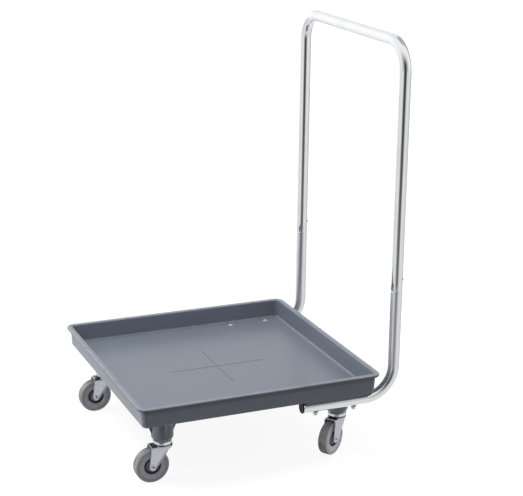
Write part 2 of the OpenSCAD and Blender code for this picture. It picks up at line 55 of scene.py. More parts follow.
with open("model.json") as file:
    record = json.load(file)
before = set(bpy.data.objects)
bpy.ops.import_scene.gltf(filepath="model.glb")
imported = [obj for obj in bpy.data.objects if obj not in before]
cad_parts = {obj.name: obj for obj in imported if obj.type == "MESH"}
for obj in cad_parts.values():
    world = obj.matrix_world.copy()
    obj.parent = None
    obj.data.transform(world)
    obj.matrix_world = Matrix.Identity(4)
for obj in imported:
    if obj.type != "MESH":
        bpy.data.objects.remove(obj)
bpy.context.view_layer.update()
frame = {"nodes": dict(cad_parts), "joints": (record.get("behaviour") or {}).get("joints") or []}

JOINTS = {joint["name"]: joint for joint in frame["joints"]}
CASTERS = [name[: -len("_swivel")] for name in JOINTS if name.endswith("_swivel")]
SIDES = {"left": 1.0, "right": -1.0}
X_AXIS, Y_AXIS, Z_AXIS = np.eye(3)
MM = 0.001
WELD = 1e-6
SHARP = math.radians(38.0)


def mm(*lengths):
    """Lengths given in millimetres, in metres."""
    return np.array(lengths) * MM


def node_box(*nodes):
    """Lowest and highest corner of the packed nodes together, as two arrays."""
    corners = np.array([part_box(node) for node in nodes])
    return corners[:, 0].min(axis=0), corners[:, 1].max(axis=0)


TRAY_NODES = ["tray", "tray_side_walls", "tray_end_walls"]
TRAY_LOW, TRAY_HIGH = node_box(*TRAY_NODES)
LOOP_LOW, LOOP_HIGH = node_box("handle_loop")
PLUG_LOW, PLUG_HIGH = node_box("leg_plug_left")
CUP_LOW, CUP_HIGH = node_box(CASTERS[0] + "_swivel_cup")
TRAY_MIDDLE_Y = (TRAY_LOW[1] + TRAY_HIGH[1]) / 2
TUBE_R = (LOOP_HIGH[1] - LOOP_LOW[1]) / 2
UPRIGHT_X, UPRIGHT_Y = LOOP_HIGH[0] - TUBE_R, LOOP_LOW[1] + TUBE_R
LEG_FRONT, LEG_Z = node_box("handle_leg_left")[0][1:] + [0.0, TUBE_R]
BUTTON_Z = np.mean(node_box("snap_button_left"), axis=0)[2]
TYRE_HALF, _, WHEEL_R = np.diff(node_box(CASTERS[0] + "_tyre"), axis=0)[0] / 2
HUB_HALF = np.diff(node_box(CASTERS[0] + "_wheel_hub"), axis=0)[0][0] / 2
BOSS_X, _, BOSS_Z = np.abs(JOINTS[CASTERS[0] + "_swivel"]["pos_m"])


def size(length, description):
    """A length that a user can change, given in millimetres and kept in metres."""
    return bpy.props.FloatProperty(
        description=description, default=length * MM, unit="LENGTH", precision=5
    )


def colour(rgb, description):
    """A colour that a user can change, in scene linear red, green and blue."""
    return bpy.props.FloatVectorProperty(
        description=description, default=rgb, subtype="COLOR", size=3, min=0.0, max=1.0
    )


class DollyTraySizes(bpy.types.PropertyGroup):
    """Sizes of the moulded tray."""

    floor: size(4, "Thickness of the tray floor")
    wall: size(4.5, "Thickness of the tray wall")
    lean: size(2.5, "How far the wall leans out between floor and rim")
    height: size(46, "Height from the underside to the rim")
    corner: size(6, "Inside corner radius at the floor")
    lip_reach: size(8, "How far the rim lip reaches past the wall")
    lip: size(6, "Thickness of the rim lip")
    lip_round: size(2, "Rounding of the lip's edges")
    lip_fillet: size(1.5, "Fillet between lip and wall")
    floor_fillet: size(5, "Fillet between floor and wall")
    foot_round: size(4.5, "Rounding between wall and underside")
    cross_x: size(208, "Length of the fine floor line along X")
    cross_y: size(230, "Length of the fine floor line along Y")
    cross_depth: size(0.5, "Depth of the fine floor lines")
    rib: size(3, "Thickness of the ribs under the floor lines")
    rib_depth: size(10, "Depth of the ribs under the floor lines")
    rib_round: size(4, "Rounding of the ribs' lower corners")
    root: size(1, "How far the parts under the floor reach up into it")
    boss: size(48, "Diameter of a caster boss")
    boss_fillet: size(3.5, "Fillet between boss and floor")
    boss_taper: size(4.5, "How far a boss tapers in at its lower end")
    boss_taper_height: size(8, "Height of that taper")
    boss_bore: size(18.1, "Diameter of the bore for the stem socket")
    boss_bore_depth: size(44, "Depth of that bore")
    gusset: size(5, "Thickness of a gusset")
    gusset_reach: size(17, "How far a gusset reaches from its boss")
    gusset_height: size(40, "Height of a gusset")
    gusset_gap: size(0.5, "Gap between a gusset and the handle leg beside it")
    plate_edge: size(0.9, "Rounding of the gussets' edges")
    saddle: size(30, "Width of a saddle over a handle leg")
    saddle_wrap: size(5, "How far a saddle wraps down past the tube's top")
    saddle_start: size(5, "Distance from a leg's end to its saddle")
    saddle_gap: size(0.2, "Gap between saddle and tube")
    saddle_edge: size(0.6, "How far a saddle's ends are drawn in")
    recess: size(15, "Diameter of the recess round a bolt head")
    recess_depth: size(3, "Depth of that recess")
    recess_border: size(1.9, "Width of the floor's own border round that recess")
    bolt_start: size(32, "Distance from a leg's end to its first bolt")
    bolt_pitch: size(92, "Distance between a leg's two bolts")


class DollyHandleSizes(bpy.types.PropertyGroup):
    """Sizes of the tube handle."""

    wall: size(1.5, "Wall of the tube")
    bar_bend: size(62, "Bend radius of the push bar's corners")
    leg_bend: size(68, "Bend radius where a leg turns up")
    shoulder: size(3, "Length of the shoulder that the loop stands on")
    spigot: size(70, "Length of the spigot inside the loop")
    spigot_gap: size(0.15, "Gap between spigot and loop")
    spigot_edge: size(0.8, "How far the spigot's end is drawn in")
    edge: size(0.6, "Rounding of the tube's cut ends")
    joint: size(3.2, "Length of the rounding at the top of a leg, under the loop")
    joint_drop: size(1.1, "Depth of the rounding at the top of a leg")
    button_hole: size(7.5, "Diameter of the snap button's hole")
    button_border: size(1.25, "Width of the tube's own border round that hole")
    spring: size(0.5, "Thickness of a button's leaf spring")
    plug_cap: size(2.5, "Thickness of an end plug's cap")
    plug_wall: size(2.5, "Wall of an end plug")
    plug_gap: size(0.05, "Gap between an end plug and its tube")
    plug_dish: size(0.5, "Depth of the dish in an end plug's cap")


class DollyCasterSizes(bpy.types.PropertyGroup):
    """Sizes of the swivel casters."""

    sheet: size(2.5, "Thickness of the fork's sheet")
    fork_bend: size(6, "Outside bend radius between crown and legs")
    side_gap: size(0.4, "Gap between hub and fork leg")
    wheel_gap: size(5, "Gap between wheel and crown")
    tip: size(8.5, "Radius of a fork leg's lower end")
    crown_past: size(3.5, "How far the crown reaches past the axle")
    crown_rear: size(22, "How far the crown reaches behind the swivel axis")
    leg_rear: size(12, "How far a leg's top reaches behind the swivel axis")
    crown_edge: size(6.5, "Depth of the crown's turned down edge")
    flange: size(0.9, "How far a leg's rear edge is rolled outwards")
    flange_width: size(5, "Width of that rolled edge")
    race: size(40, "Diameter of the crown's raised race")
    race_height: size(1.8, "Height of that race")
    stem: size(12, "Diameter of the stem")
    stem_gap: size(0.05, "Gap round the stem")
    cup_skirt: size(1.6, "Thickness of the cup's skirt")
    cup_face: size(4.4, "Height of the cup's inner face above the crown")
    hub: size(38, "Diameter of the hub inside the tyre")
    hub_boss: size(18, "Diameter of the hub's middle boss")
    hub_cone: size(4.6, "Width and depth of the slope round that boss")
    hub_web: size(7, "Thickness of the hub's web")
    hub_rim: size(18, "Width of the hub's rim")
    hub_bore: size(12.1, "Diameter of the hub's bore")
    tyre_gap: size(0.05, "Gap between hub and tyre")
    tyre_round: size(3, "Rounding of a tyre's edges")
    tyre_line: size(7.5, "Distance from tread to the fine line on its side")
    tyre_seam: size(0.12, "Height of the mould seam along the tread")
    rivet: size(8, "Diameter of the axle rivet")
    rivet_head: size(10.5, "Diameter of a rivet's heads")
    rivet_head_height: size(1.2, "Height of a rivet's heads")
    rivet_hollow: size(4.6, "Diameter of the hollow in a rivet's heads")
    rivet_hollow_depth: size(1.0, "Depth of that hollow")


class DollyColours(bpy.types.PropertyGroup):
    """Colours of the finishes."""

    tray: colour((0.188, 0.217, 0.263), "Blue-grey moulded plastic")
    chrome: colour((0.86, 0.865, 0.875), "Bright plated tube")
    bright: colour((0.80, 0.81, 0.83), "Bright plated cups and balls")
    pale: colour((0.86, 0.87, 0.89), "Frosted bolts and nuts")
    dark: colour((0.20, 0.20, 0.21), "Dark snap buttons")
    zinc: colour((0.60, 0.62, 0.67), "Zinc plated sheet")
    rubber: colour((0.632, 0.643, 0.665), "Grey tyre rubber")
    dust: colour((0.20, 0.20, 0.19), "Dust on the tread")
    hub: colour((0.095, 0.09, 0.125), "Dark hub plastic")
    black: colour((0.012, 0.012, 0.014), "Black end plugs and dust rings")
    floor: colour((0.80, 0.80, 0.80), "Pale studio floor")


# Shader maths

class Flow:
    """One value in a node tree: its operators add Math nodes, so shader sums read as Python."""

    def __init__(self, finish, socket):
        self.finish = finish
        self.socket = socket

    def math(self, operation, *values):
        """Math node of that operation on the values."""
        return self.finish.node("ShaderNodeMath", {"operation": operation}, dict(enumerate(values)))

    def __add__(self, other):
        return self.math("ADD", self, other)

    __radd__ = __add__

    def __sub__(self, other):
        return self.math("SUBTRACT", self, other)

    def __rsub__(self, other):
        return self.math("SUBTRACT", other, self)

    def __mul__(self, other):
        return self.math("MULTIPLY", self, other)

    __rmul__ = __mul__

    def __truediv__(self, other):
        return self.math("DIVIDE", self, other)

    def __pow__(self, other):
        return self.math("POWER", self, other)

    def at_most(self, other):
        """The smaller of two values."""
        return self.math("MINIMUM", self, other)

    def at_least(self, other):
        """The larger of two values."""
        return self.math("MAXIMUM", self, other)

    def ramp(self, low, high):
        """Smooth step from 0 at low to 1 at high."""
        return self.finish.node(
            "ShaderNodeMapRange",
            {"interpolation_type": "SMOOTHSTEP"},
            {"Value": self, "From Min": low, "From Max": high},
        )


class Finish:
    """The node tree of a material or world, with one method that adds any node."""

    def __init__(self, owner):
        owner.use_nodes = True
        self.owner = owner
        self.tree = owner.node_tree
        self.tree.nodes.clear()

    def node(self, kind, settings=None, sockets=None, out=0):
        """Adds a node: settings are set first, then sockets are set or linked by name or number."""
        node = self.tree.nodes.new(kind)
        for key, value in (settings or {}).items():
            setattr(node, key, value)
        for key, value in (sockets or {}).items():
            if isinstance(value, Flow):
                self.tree.links.new(value.socket, node.inputs[key])
            else:
                node.inputs[key].default_value = value
        return Flow(self, node.outputs[out]) if len(node.outputs) else None

    def place(self, scale=(1.0, 1.0, 1.0), source="Object"):
        """Coordinates on the piece, stretched by scale."""
        where = self.node("ShaderNodeTexCoord", out=source)
        return self.node("ShaderNodeMapping", None, {"Vector": where, "Scale": scale})

    def noise(self, where, scale, detail=3.0):
        """Cloudy value from 0 to 1, about 0.5."""
        sockets = {"Vector": where, "Scale": scale, "Detail": detail, "Roughness": 0.5}
        return self.node("ShaderNodeTexNoise", None, sockets, "Fac")

    def painted(self, name):
        """Value painted on the mesh under that name."""
        return self.node("ShaderNodeAttribute", {"attribute_name": name}, out="Fac")

    def mix(self, share, first, second):
        """Colour between first and second."""
        sockets = {0: share, 6: first, 7: second}
        return self.node("ShaderNodeMix", {"data_type": "RGBA"}, sockets, 2)

    def bump(self, height, depth):
        """Normal that a height pattern gives, with its depth in millimetres."""
        sockets = {"Height": height, "Distance": depth * MM, "Strength": 1.0}
        return self.node("ShaderNodeBump", None, sockets)

    def surface(self, **values):
        """Principled surface with those values, such as Base_Color, as the material's output."""
        sockets = {key.replace("_", " "): value for key, value in values.items()}
        shader = self.node("ShaderNodeBsdfPrincipled", None, sockets)
        self.node("ShaderNodeOutputMaterial", None, {"Surface": shader})
        return self.owner


def tint(rgb, factor=1.0):
    """A colour with its alpha, lighter or darker by a factor."""
    return tuple(min(1.0, channel * factor) for channel in rgb) + (1.0,)


def tray_plastic(finish, rgb):
    """Moulded plastic: fine grain, cloudy tone, drag marks, paler rubbed edges with painted
    highlights, and painted shade in lines and under the lip.
    """
    where = finish.place()
    cloud = finish.noise(where, 9.0)
    mottle = finish.noise(where, 170.0)
    grain = finish.noise(where, 1400.0, 2.0)
    drag = finish.noise(finish.place((420.0, 9.0, 60.0)), 1.0)
    patch = finish.noise(where, 5.0, 2.0).ramp(0.45, 0.65)
    marks = drag.ramp(0.52, 0.72) * patch
    # paler edges: rubbed lip edges with a painted highlight there and along the floor's fillet; the
    # bosses' lower ends are only rubbed
    paler_edge = finish.painted("wear") * finish.noise(where, 60.0).ramp(0.2, 0.6)
    greyer = [(part + sum(rgb) / 3) / 2 for part in rgb]
    tone = finish.mix(0.6 * cloud + 0.4 * mottle, tint(rgb, 0.88), tint(rgb, 1.12))
    tone = finish.mix(marks * 0.22, tone, tint(rgb, 1.35))
    tone = finish.mix(paler_edge * 0.75, tone, tint(greyer, 1.6))
    # painted shade: under the lip, in the fine floor lines and in the bolt recesses
    tone = finish.mix(finish.painted("grime") * 0.85, tone, tint(rgb, 0.28))
    return finish.surface(
        Base_Color=tone,
        Roughness=0.25 + 0.10 * cloud + 0.10 * marks,
        Normal=finish.bump(grain * 0.7 + marks * 0.3, 0.03),
        IOR=1.49,
    )


def chrome_tube(finish, rgb):
    """Bright plated tube: fine polishing lines along it, faint smears, dull where scuffed."""
    lines = finish.noise(finish.place((220.0, 2.0, 1.0), "UV"), 1.0)
    smear = finish.noise(finish.place(), 18.0, 4.0).ramp(0.45, 0.75)
    scuffed = finish.painted("wear")
    return finish.surface(
        Base_Color=finish.mix(smear * 0.5 + lines * 0.2, tint(rgb), tint(rgb, 0.90)),
        Metallic=1.0,
        Roughness=0.07 + 0.05 * smear + 0.05 * lines + 0.22 * scuffed,
        Normal=finish.bump(lines, 0.004),
    )


def bright_steel(finish, rgb):
    """Small steel parts: fine turning marks and a little haze."""
    where = finish.place()
    haze = finish.noise(where, 120.0)
    return finish.surface(
        Base_Color=finish.mix(haze, tint(rgb, 0.88), tint(rgb, 1.05)),
        Metallic=1.0,
        Roughness=0.12 + 0.10 * haze,
        Normal=finish.bump(finish.noise(where, 1800.0, 1.0), 0.008),
    )


def pale_steel(finish, rgb):
    """Frosted plating of bolts and nuts: a cloudy pale skin over bright metal."""
    haze = finish.noise(finish.place(), 300.0)
    return finish.surface(
        Base_Color=finish.mix(haze, tint(rgb, 0.90), tint(rgb, 1.06)),
        Metallic=0.45,
        Roughness=0.30 + 0.12 * haze,
    )


def zinc_steel(finish, rgb):
    """Zinc plated sheet: fine crystals, cloudy haze, painted highlights on rolled edges, and
    painted shade and dark reflections.
    """
    where = finish.place()
    sockets = {"Vector": where, "Scale": 420.0}
    crystal = finish.node("ShaderNodeTexVoronoi", {"feature": "F1"}, sockets, "Distance")
    haze = finish.noise(where, 70.0, 4.0)
    streak = finish.noise(finish.place((900.0, 900.0, 60.0)), 1.0, 2.0)
    # painted highlight on the forks' rolled edges
    paler_edge = finish.painted("wear")
    tone = finish.mix(haze, tint(rgb, 0.86), tint(rgb, 1.10))
    tone = finish.mix(paler_edge * 0.6, tone, tint(rgb, 1.30))
    # painted shade, near black, in the rivet hollows and on the race's side under the cup, and a
    # painted dark reflection on the crown top
    tone = finish.mix(finish.painted("grime"), tone, tint(rgb, 0.06))
    return finish.surface(
        Base_Color=tone,
        Metallic=1.0,
        Roughness=0.20 + 0.12 * haze + 0.06 * crystal - 0.06 * paler_edge,
        Normal=finish.bump(crystal * 0.5 + streak * 0.5, 0.008),
    )


def tyre_rubber(finish, rgb):
    """Grey rubber: fine matt grain, cloudy tone, dust on the tread and painted shade in the fine
    line.
    """
    where = finish.place()
    cloud = finish.noise(where, 55.0, 4.0)
    dust = finish.painted("wear") * (0.65 + 0.35 * cloud.ramp(0.3, 0.7))
    tone = finish.mix(cloud, tint(rgb, 0.88), tint(rgb, 1.12))
    tone = finish.mix(dust, tone, tint(bpy.context.scene.dolly_colours.dust))
    # painted shade in the fine line on the tyre's side
    tone = finish.mix(finish.painted("grime") * 0.7, tone, tint(rgb, 0.5))
    return finish.surface(
        Base_Color=tone,
        Roughness=0.58 + 0.14 * cloud + 0.12 * dust,
        Normal=finish.bump(finish.noise(where, 2200.0, 2.0), 0.08),
        IOR=1.5,
    )


def hub_plastic(finish, rgb):
    """Dark moulded hub: fine grain, cloudy tone and painted light on the boss and its slope."""
    where = finish.place()
    cloud = finish.noise(where, 90.0)
    tone = finish.mix(cloud, tint(rgb, 0.8), tint(rgb, 1.25))
    # painted light on the boss and its slope
    tone = finish.mix(finish.painted("wear") * (0.5 + 0.4 * cloud), tone, tint(rgb, 3.6))
    return finish.surface(
        Base_Color=tone,
        Roughness=0.42 + 0.16 * cloud,
        Normal=finish.bump(finish.noise(where, 1500.0, 2.0), 0.05),
        IOR=1.5,
    )


def black_plastic(finish, rgb):
    """Black plastic: fine grain with a satin sheen and faint scuffs."""
    where = finish.place()
    scuff = finish.noise(where, 240.0, 4.0).ramp(0.6, 0.8)
    return finish.surface(
        Base_Color=finish.mix(scuff * 0.35, tint(rgb), tint(rgb, 3.0)),
        Roughness=0.45 + 0.2 * scuff,
        Specular_IOR_Level=0.1,
        Normal=finish.bump(finish.noise(where, 1600.0, 2.0), 0.04),
        IOR=1.5,
    )


FINISHES = {
    "tray_plastic": (tray_plastic, "tray"),
    "chrome_tube": (chrome_tube, "chrome"),
    "bright_steel": (bright_steel, "bright"),
    "dark_steel": (bright_steel, "dark"),
    "pale_steel": (pale_steel, "pale"),
    "zinc_steel": (zinc_steel, "zinc"),
    "tyre_rubber": (tyre_rubber, "rubber"),
    "hub_plastic": (hub_plastic, "hub"),
    "black_plastic": (black_plastic, "black"),
}


def finish_of(slot):
    """The material of a finish, made on first use."""
    found = bpy.data.materials.get("dolly_" + slot)
    if found:
        return found
    make, colour_name = FINISHES[slot]
    material = bpy.data.materials.new("dolly_" + slot)
    return make(Finish(material), tuple(getattr(bpy.context.scene.dolly_colours, colour_name)))


def dress(slot, *nodes):
    """Gives packed nodes that stay in view the finish of their slot."""
    for node in nodes:
        mesh = frame["nodes"][node].data
        mesh.materials.clear()
        mesh.materials.append(finish_of(slot))


# Surfaces

def smooth(value, low, high):
    """Smooth step: 0 up to low, 1 from high, and 3t^2 - 2t^3 between."""
    t = np.clip((value - low) / (high - low), 0.0, 1.0)
    return t * t * (3.0 - 2.0 * t)


def arc(centre, radius, start, end, steps=9):
    """Points centre + radius * (cos a, sin a), with a going evenly from start to end in degrees."""
    a = np.radians(np.linspace(start, end, steps))
    return np.asarray(centre) + radius * np.stack([np.cos(a), np.sin(a)], axis=-1)


def rounded(corners, radii, closed=False, steps=9):
    """Outline through corners, each replaced by an arc of its radius that touches its sides."""
    corners = np.asarray(corners, float)
    pieces = []
    for i, (corner, radius) in enumerate(zip(corners, radii)):
        if radius <= 0 or (not closed and i in (0, len(corners) - 1)):
            pieces.append(corner[None])
            continue
        back = corners[i - 1] - corner
        ahead = corners[(i + 1) % len(corners)] - corner
        back, ahead = back / np.linalg.norm(back), ahead / np.linalg.norm(ahead)
        half = 0.5 * math.acos(np.clip(back @ ahead, -1.0, 1.0))
        middle = (back + ahead) / np.linalg.norm(back + ahead)
        centre = corner + middle * radius / math.sin(half)
        first = corner + back * radius / math.tan(half) - centre
        last = corner + ahead * radius / math.tan(half) - centre
        start, end = math.atan2(first[1], first[0]), math.atan2(last[1], last[0])
        turn = (end - start + math.pi) % (2 * math.pi) - math.pi
        pieces.append(arc(centre, radius, math.degrees(start), math.degrees(start + turn), steps))
    return np.concatenate(pieces)


def loop_of(outline):
    """The outline with its first point again at its end, so that it closes."""
    return np.concatenate([outline, outline[:1]])


def grid_faces(rows, columns):
    """Four-cornered faces between neighbours of a grid whose points are numbered row by row."""
    i, j = np.meshgrid(np.arange(rows - 1), np.arange(columns - 1), indexing="ij")
    first = i * columns + j
    faces = np.stack([first, first + 1, first + columns + 1, first + columns], axis=-1)
    return faces.reshape(-1, 4)


class Shell:
    """Grids of points gathered into one mesh, welded where their borders meet."""

    def __init__(self):
        self.points, self.faces, self.runs, self.wear, self.grime = [], [], [], [], []
        self.count = 0

    def faces_of(self, points, faces, run=0.0, wear=0.0, grime=0.0):
        """Adds points with faces between them. run is their place round and along the surface."""
        points = np.asarray(points, float).reshape(-1, 3)
        count = len(points)
        self.points.append(points)
        self.faces.append(np.asarray(faces) + self.count)
        self.runs.append(np.broadcast_to(run, (count, 2)))
        self.wear.append(np.broadcast_to(wear, (count,)))
        self.grime.append(np.broadcast_to(grime, (count,)))
        self.count += count
        return self

    def grid(self, points, wear=0.0, grime=0.0, run=None):
        """Adds a grid of points, rows by columns by three."""
        shape = points.shape[:2]
        wear, grime = (np.broadcast_to(value, shape).ravel() for value in (wear, grime))
        run = 0.0 if run is None else run.reshape(-1, 2)
        return self.faces_of(points, grid_faces(*shape), run, wear, grime)

    def turn(self, outline, origin, axis, first, turns=64, wear=0.0, grime=0.0):
        """Adds an outline of (radius, height along the axis) turned once about the axis:
        origin + r (cos a e1 + sin a e2) + h axis."""
        a = np.linspace(0.0, 2 * math.pi, turns + 1)
        around = np.cos(a)[:, None] * first + np.sin(a)[:, None] * np.cross(axis, first)
        points = origin + outline[:, None, :1] * around + outline[:, None, 1:] * axis
        steps = np.linalg.norm(np.diff(outline, axis=0), axis=1)
        along = np.concatenate([[0.0], np.cumsum(steps)])
        run = np.stack(np.broadcast_arrays(a / (2 * math.pi), along[:, None]), axis=-1)
        wear, grime = (np.reshape(value, (-1, 1)) for value in (wear, grime))
        return self.grid(points, wear, grime, run)

    def build(self, name, body, slot, replaces):
        """Makes the piece: welds its grids, turns its faces outwards, and lets it ride on its body
        if it has one."""
        points, faces = np.concatenate(self.points), np.concatenate(self.faces)
        mesh = bpy.data.meshes.new(name)
        mesh.vertices.add(len(points))
        mesh.vertices.foreach_set("co", points.astype(np.float32).ravel())
        mesh.loops.add(faces.size)
        mesh.loops.foreach_set("vertex_index", faces.astype(np.int32).ravel())
        mesh.polygons.add(len(faces))
        mesh.polygons.foreach_set("loop_start", np.arange(0, faces.size, 4, dtype=np.int32))
        runs = np.concatenate(self.runs)[faces.ravel()]
        mesh.uv_layers.new(name="run").data.foreach_set("uv", runs.astype(np.float32).ravel())
        # Two painted layers: one holds real wear and dust together with painted highlights, the
        # other holds painted shade and a painted dark reflection.
        for layer, values in (("wear", self.wear), ("grime", self.grime)):
            attribute = mesh.attributes.new(layer, "FLOAT", "POINT")
            attribute.data.foreach_set("value", np.concatenate(values).astype(np.float32))
        mesh.update(calc_edges=True)
        work = bmesh.new()
        work.from_mesh(mesh)
        bmesh.ops.remove_doubles(work, verts=work.verts, dist=WELD)
        bmesh.ops.dissolve_degenerate(work, edges=work.edges, dist=WELD / 10)
        loose = [vertex for vertex in work.verts if not vertex.link_faces]
        bmesh.ops.delete(work, geom=loose, context="VERTS")
        bmesh.ops.recalc_face_normals(work, faces=work.faces)
        work.to_mesh(mesh)
        work.free()
        mesh.polygons.foreach_set("use_smooth", np.ones(len(mesh.polygons), bool))
        mesh.set_sharp_from_angle(angle=SHARP)
        mesh.materials.append(finish_of(slot))
        piece = bpy.data.objects.new(name, mesh)
        bpy.context.scene.collection.objects.link(piece)
        if body:
            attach(piece, body)
        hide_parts(*replaces)
        return piece


def slab(outline, thickness, edge, origin, across, up, steps=5):
    """Closed plate: an outline in the plane of across and up, drawn in along its own normals by a
    quarter circle of the edge radius at both faces, and closed by a point in each face's middle."""
    ahead, back = np.roll(outline, -1, axis=0), np.roll(outline, 1, axis=0)
    tangent = ahead - back
    out = np.stack([tangent[:, 1], -tangent[:, 0]], axis=-1)
    out /= np.linalg.norm(out, axis=1, keepdims=True)
    out *= np.sign(np.sum(outline[:, 0] * ahead[:, 1] - ahead[:, 0] * outline[:, 1]))
    a = np.linspace(0.0, math.pi / 2, steps)
    opening, closing = edge * (1 - np.sin(a)), edge * (1 - np.cos(a))
    inset = np.concatenate([opening, closing])
    height = np.concatenate([closing - thickness / 2, thickness / 2 - opening])
    rings = outline[None] - inset[:, None, None] * out[None]
    middle = np.broadcast_to(outline.mean(axis=0), outline.shape)[None]
    rings = np.concatenate([middle, rings, middle])
    height = np.concatenate([height[:1], height, height[-1:]])[:, None, None]
    rings = np.concatenate([rings, rings[:, :1]], axis=1)
    flat = origin + rings[..., :1] * across + rings[..., 1:] * up
    return flat + height * np.cross(up, across)


def holed_grid(us, vs, holes):
    """Flat grid of the lines us and vs, as (u, v, depth), with round holes. Each hole (u, v, half,
    rings) clears the block of half width round it and joins the block's border to its rings,
    (radius, depth), along straight rays."""
    u, v = np.meshgrid(us, vs, indexing="ij")
    points = [np.stack([u, v, np.zeros_like(u)], axis=-1).reshape(-1, 3)]
    i, j = np.meshgrid(np.arange(len(us) - 1), np.arange(len(vs) - 1), indexing="ij")
    kept = np.ones(i.shape, bool)
    extra, count = [], u.size
    for u0, v0, half, rings in holes:
        i0, i1 = np.searchsorted(us, [u0 - half - WELD, u0 + half - WELD])
        j0, j1 = np.searchsorted(vs, [v0 - half - WELD, v0 + half - WELD])
        kept &= ~((i >= i0) & (i < i1) & (j >= j0) & (j < j1))
        wide, high = np.ones(i1 - i0, int), np.ones(j1 - j0, int)
        rows = np.concatenate([np.arange(i0, i1), i1 * high, np.arange(i1, i0, -1), i0 * high])
        lines = np.concatenate([j0 * wide, np.arange(j0, j1), j1 * wide, np.arange(j1, j0, -1)])
        border = np.stack([us[rows], vs[lines]], axis=-1)
        away = border - [u0, v0]
        ray = away / np.linalg.norm(away, axis=1, keepdims=True)
        radius, depth = np.array(rings).T
        circles = [u0, v0] + radius[:, None, None] * ray
        between = border + np.array([1 / 3, 2 / 3])[:, None, None] * (circles[0] - border)
        loops = np.concatenate([border[None], between, circles])
        loops = np.concatenate([loops, loops[:, :1]], axis=1)
        depths = np.concatenate([np.zeros(3), depth])[:, None, None]
        depths = np.broadcast_to(depths, loops.shape[:2] + (1,))
        points.append(np.concatenate([loops, depths], axis=-1).reshape(-1, 3))
        extra.append(grid_faces(*loops.shape[:2]) + count)
        count += depths.size
    faces = grid_faces(*u.shape)[kept.ravel()]
    return np.concatenate(points), np.concatenate([faces, *extra])


def lines_of(*groups):
    """Grid lines: all the groups' values once each, in order."""
    return np.unique(np.round(np.concatenate([np.ravel(group) for group in groups]), 7))


# Tray

SHADE_STEPS = mm(0, 3, 6, 11)
FLOOR_FINE = mm(-2.4, -1.7, -1.2, -0.85, -0.55, 0, 0.55, 0.85, 1.2, 1.7, 2.4)
FLOOR_ENDS = mm(-2, -1, 0, 1, 2)


def tray_base(tray):
    """Height of the tray's underside."""
    return TRAY_HIGH[2] - tray.height


def bolt_places(tray):
    """Places of a leg's bolts along Y, from the tray's middle."""
    first = LEG_FRONT + tray.bolt_start - TRAY_MIDDLE_Y
    return np.array([first, first + tray.bolt_pitch])


def tray_rim_path(reach, us, vs):
    """Base points and outward directions round a square of half side reach: a fan at each corner,
    and between the corners the stations of the floor's own lines, so that base + d * direction is
    the wall at distance d."""
    bases, ways = [], []
    corners = np.array([[1, 1], [-1, 1], [-1, -1], [1, -1]]) * reach
    stations = [us[-2:0:-1], vs[-2:0:-1], us[1:-1], vs[1:-1]]
    for k, (corner, line) in enumerate(zip(corners, stations)):
        fan = arc((0.0, 0.0), 1.0, 90 * k, 90 * k + 90, 13)
        out = np.abs(fan[-1])
        side = corner * out + np.outer(line, 1 - np.round(out))
        bases += [np.broadcast_to(corner, fan.shape), side]
        ways += [fan, np.broadcast_to(fan[-1], side.shape)]
    return loop_of(np.concatenate(bases)), loop_of(np.concatenate(ways))


def tray_profile(tray):
    """Section of floor edge, wall and rim lip as (distance out, height), with every corner rounded,
    and how far the rim reaches out."""
    lean = tray.lean / (tray.height - tray.floor)
    inner_top = tray.corner + tray.lean
    outer_top = inner_top + tray.wall
    foot = tray.corner + tray.wall - tray.floor * lean
    rim = outer_top + tray.lip_reach
    under = tray.height - tray.lip
    wall = [(foot + (outer_top - foot) * z / tray.height, z) for z in under - SHADE_STEPS]
    corners = [
        (0, tray.floor), (tray.corner, tray.floor), (inner_top, tray.height), (rim, tray.height),
        (rim, under), *wall, (foot, 0), (0, 0),
    ]
    lip = [tray.lip_round] * 3 + [tray.lip_fillet]
    return rounded(corners, [0, tray.floor_fillet, *lip, 0, 0, 0, tray.foot_round, 0]), rim


def tray_highlight_and_shade(tray, profile, rim):
    """Painted highlights on the lip's rubbed edges and the floor's fillet, and painted shadow under
    the lip, by section point.
    """
    out, up = profile.T
    inner, under = tray.corner + tray.lean, tray.height - tray.lip
    # lip edges: rubbed paler, with a painted highlight on top
    on_top = smooth(up, tray.height - 0.8 * tray.lip_round, tray.height - 0.25 * tray.lip_round)
    outer_edge = smooth(out, rim - 2 * tray.lip_round, rim - tray.lip_round)
    inner_edge = 1 - smooth(out, inner + 0.4 * MM, inner + tray.lip_round)
    outside = smooth(out, inner + 0.5 * MM, inner + 1.5 * MM)
    # painted shadow on the wall under the lip
    below_lip = smooth(up, under - SHADE_STEPS[-1], under)
    below_lip *= 1 - smooth(up, under + 2 * MM, under + 5 * MM)
    # painted highlight line along the floor's fillet
    bend = np.hypot(out - tray.corner, up - tray.floor) / tray.floor_fillet
    fillet = 0.7 * (1 - smooth(bend, 0.42, 0.62)) * (1 - outside)
    wear = np.maximum(on_top * np.maximum(outer_edge, inner_edge), fillet)
    return wear, 0.9 * outside * below_lip


def tray_floor_lines(tray, reach):
    """Grid lines of the floor along X and Y: close together at the fine cross and round the bolts,
    wide apart elsewhere."""
    wide = np.linspace(-reach, reach, 9)
    block = np.linspace(-1, 1, 9) * (tray.recess / 2 + tray.recess_border)
    lines = []
    bolts_x = UPRIGHT_X * np.array([1, -1])
    for length, bolts in ((tray.cross_x, bolts_x), (tray.cross_y, bolt_places(tray))):
        ends = [length / 2 + FLOOR_ENDS, -length / 2 - FLOOR_ENDS]
        lines.append(lines_of(wide, FLOOR_FINE, *ends, *[place + block for place in bolts]))
    return lines


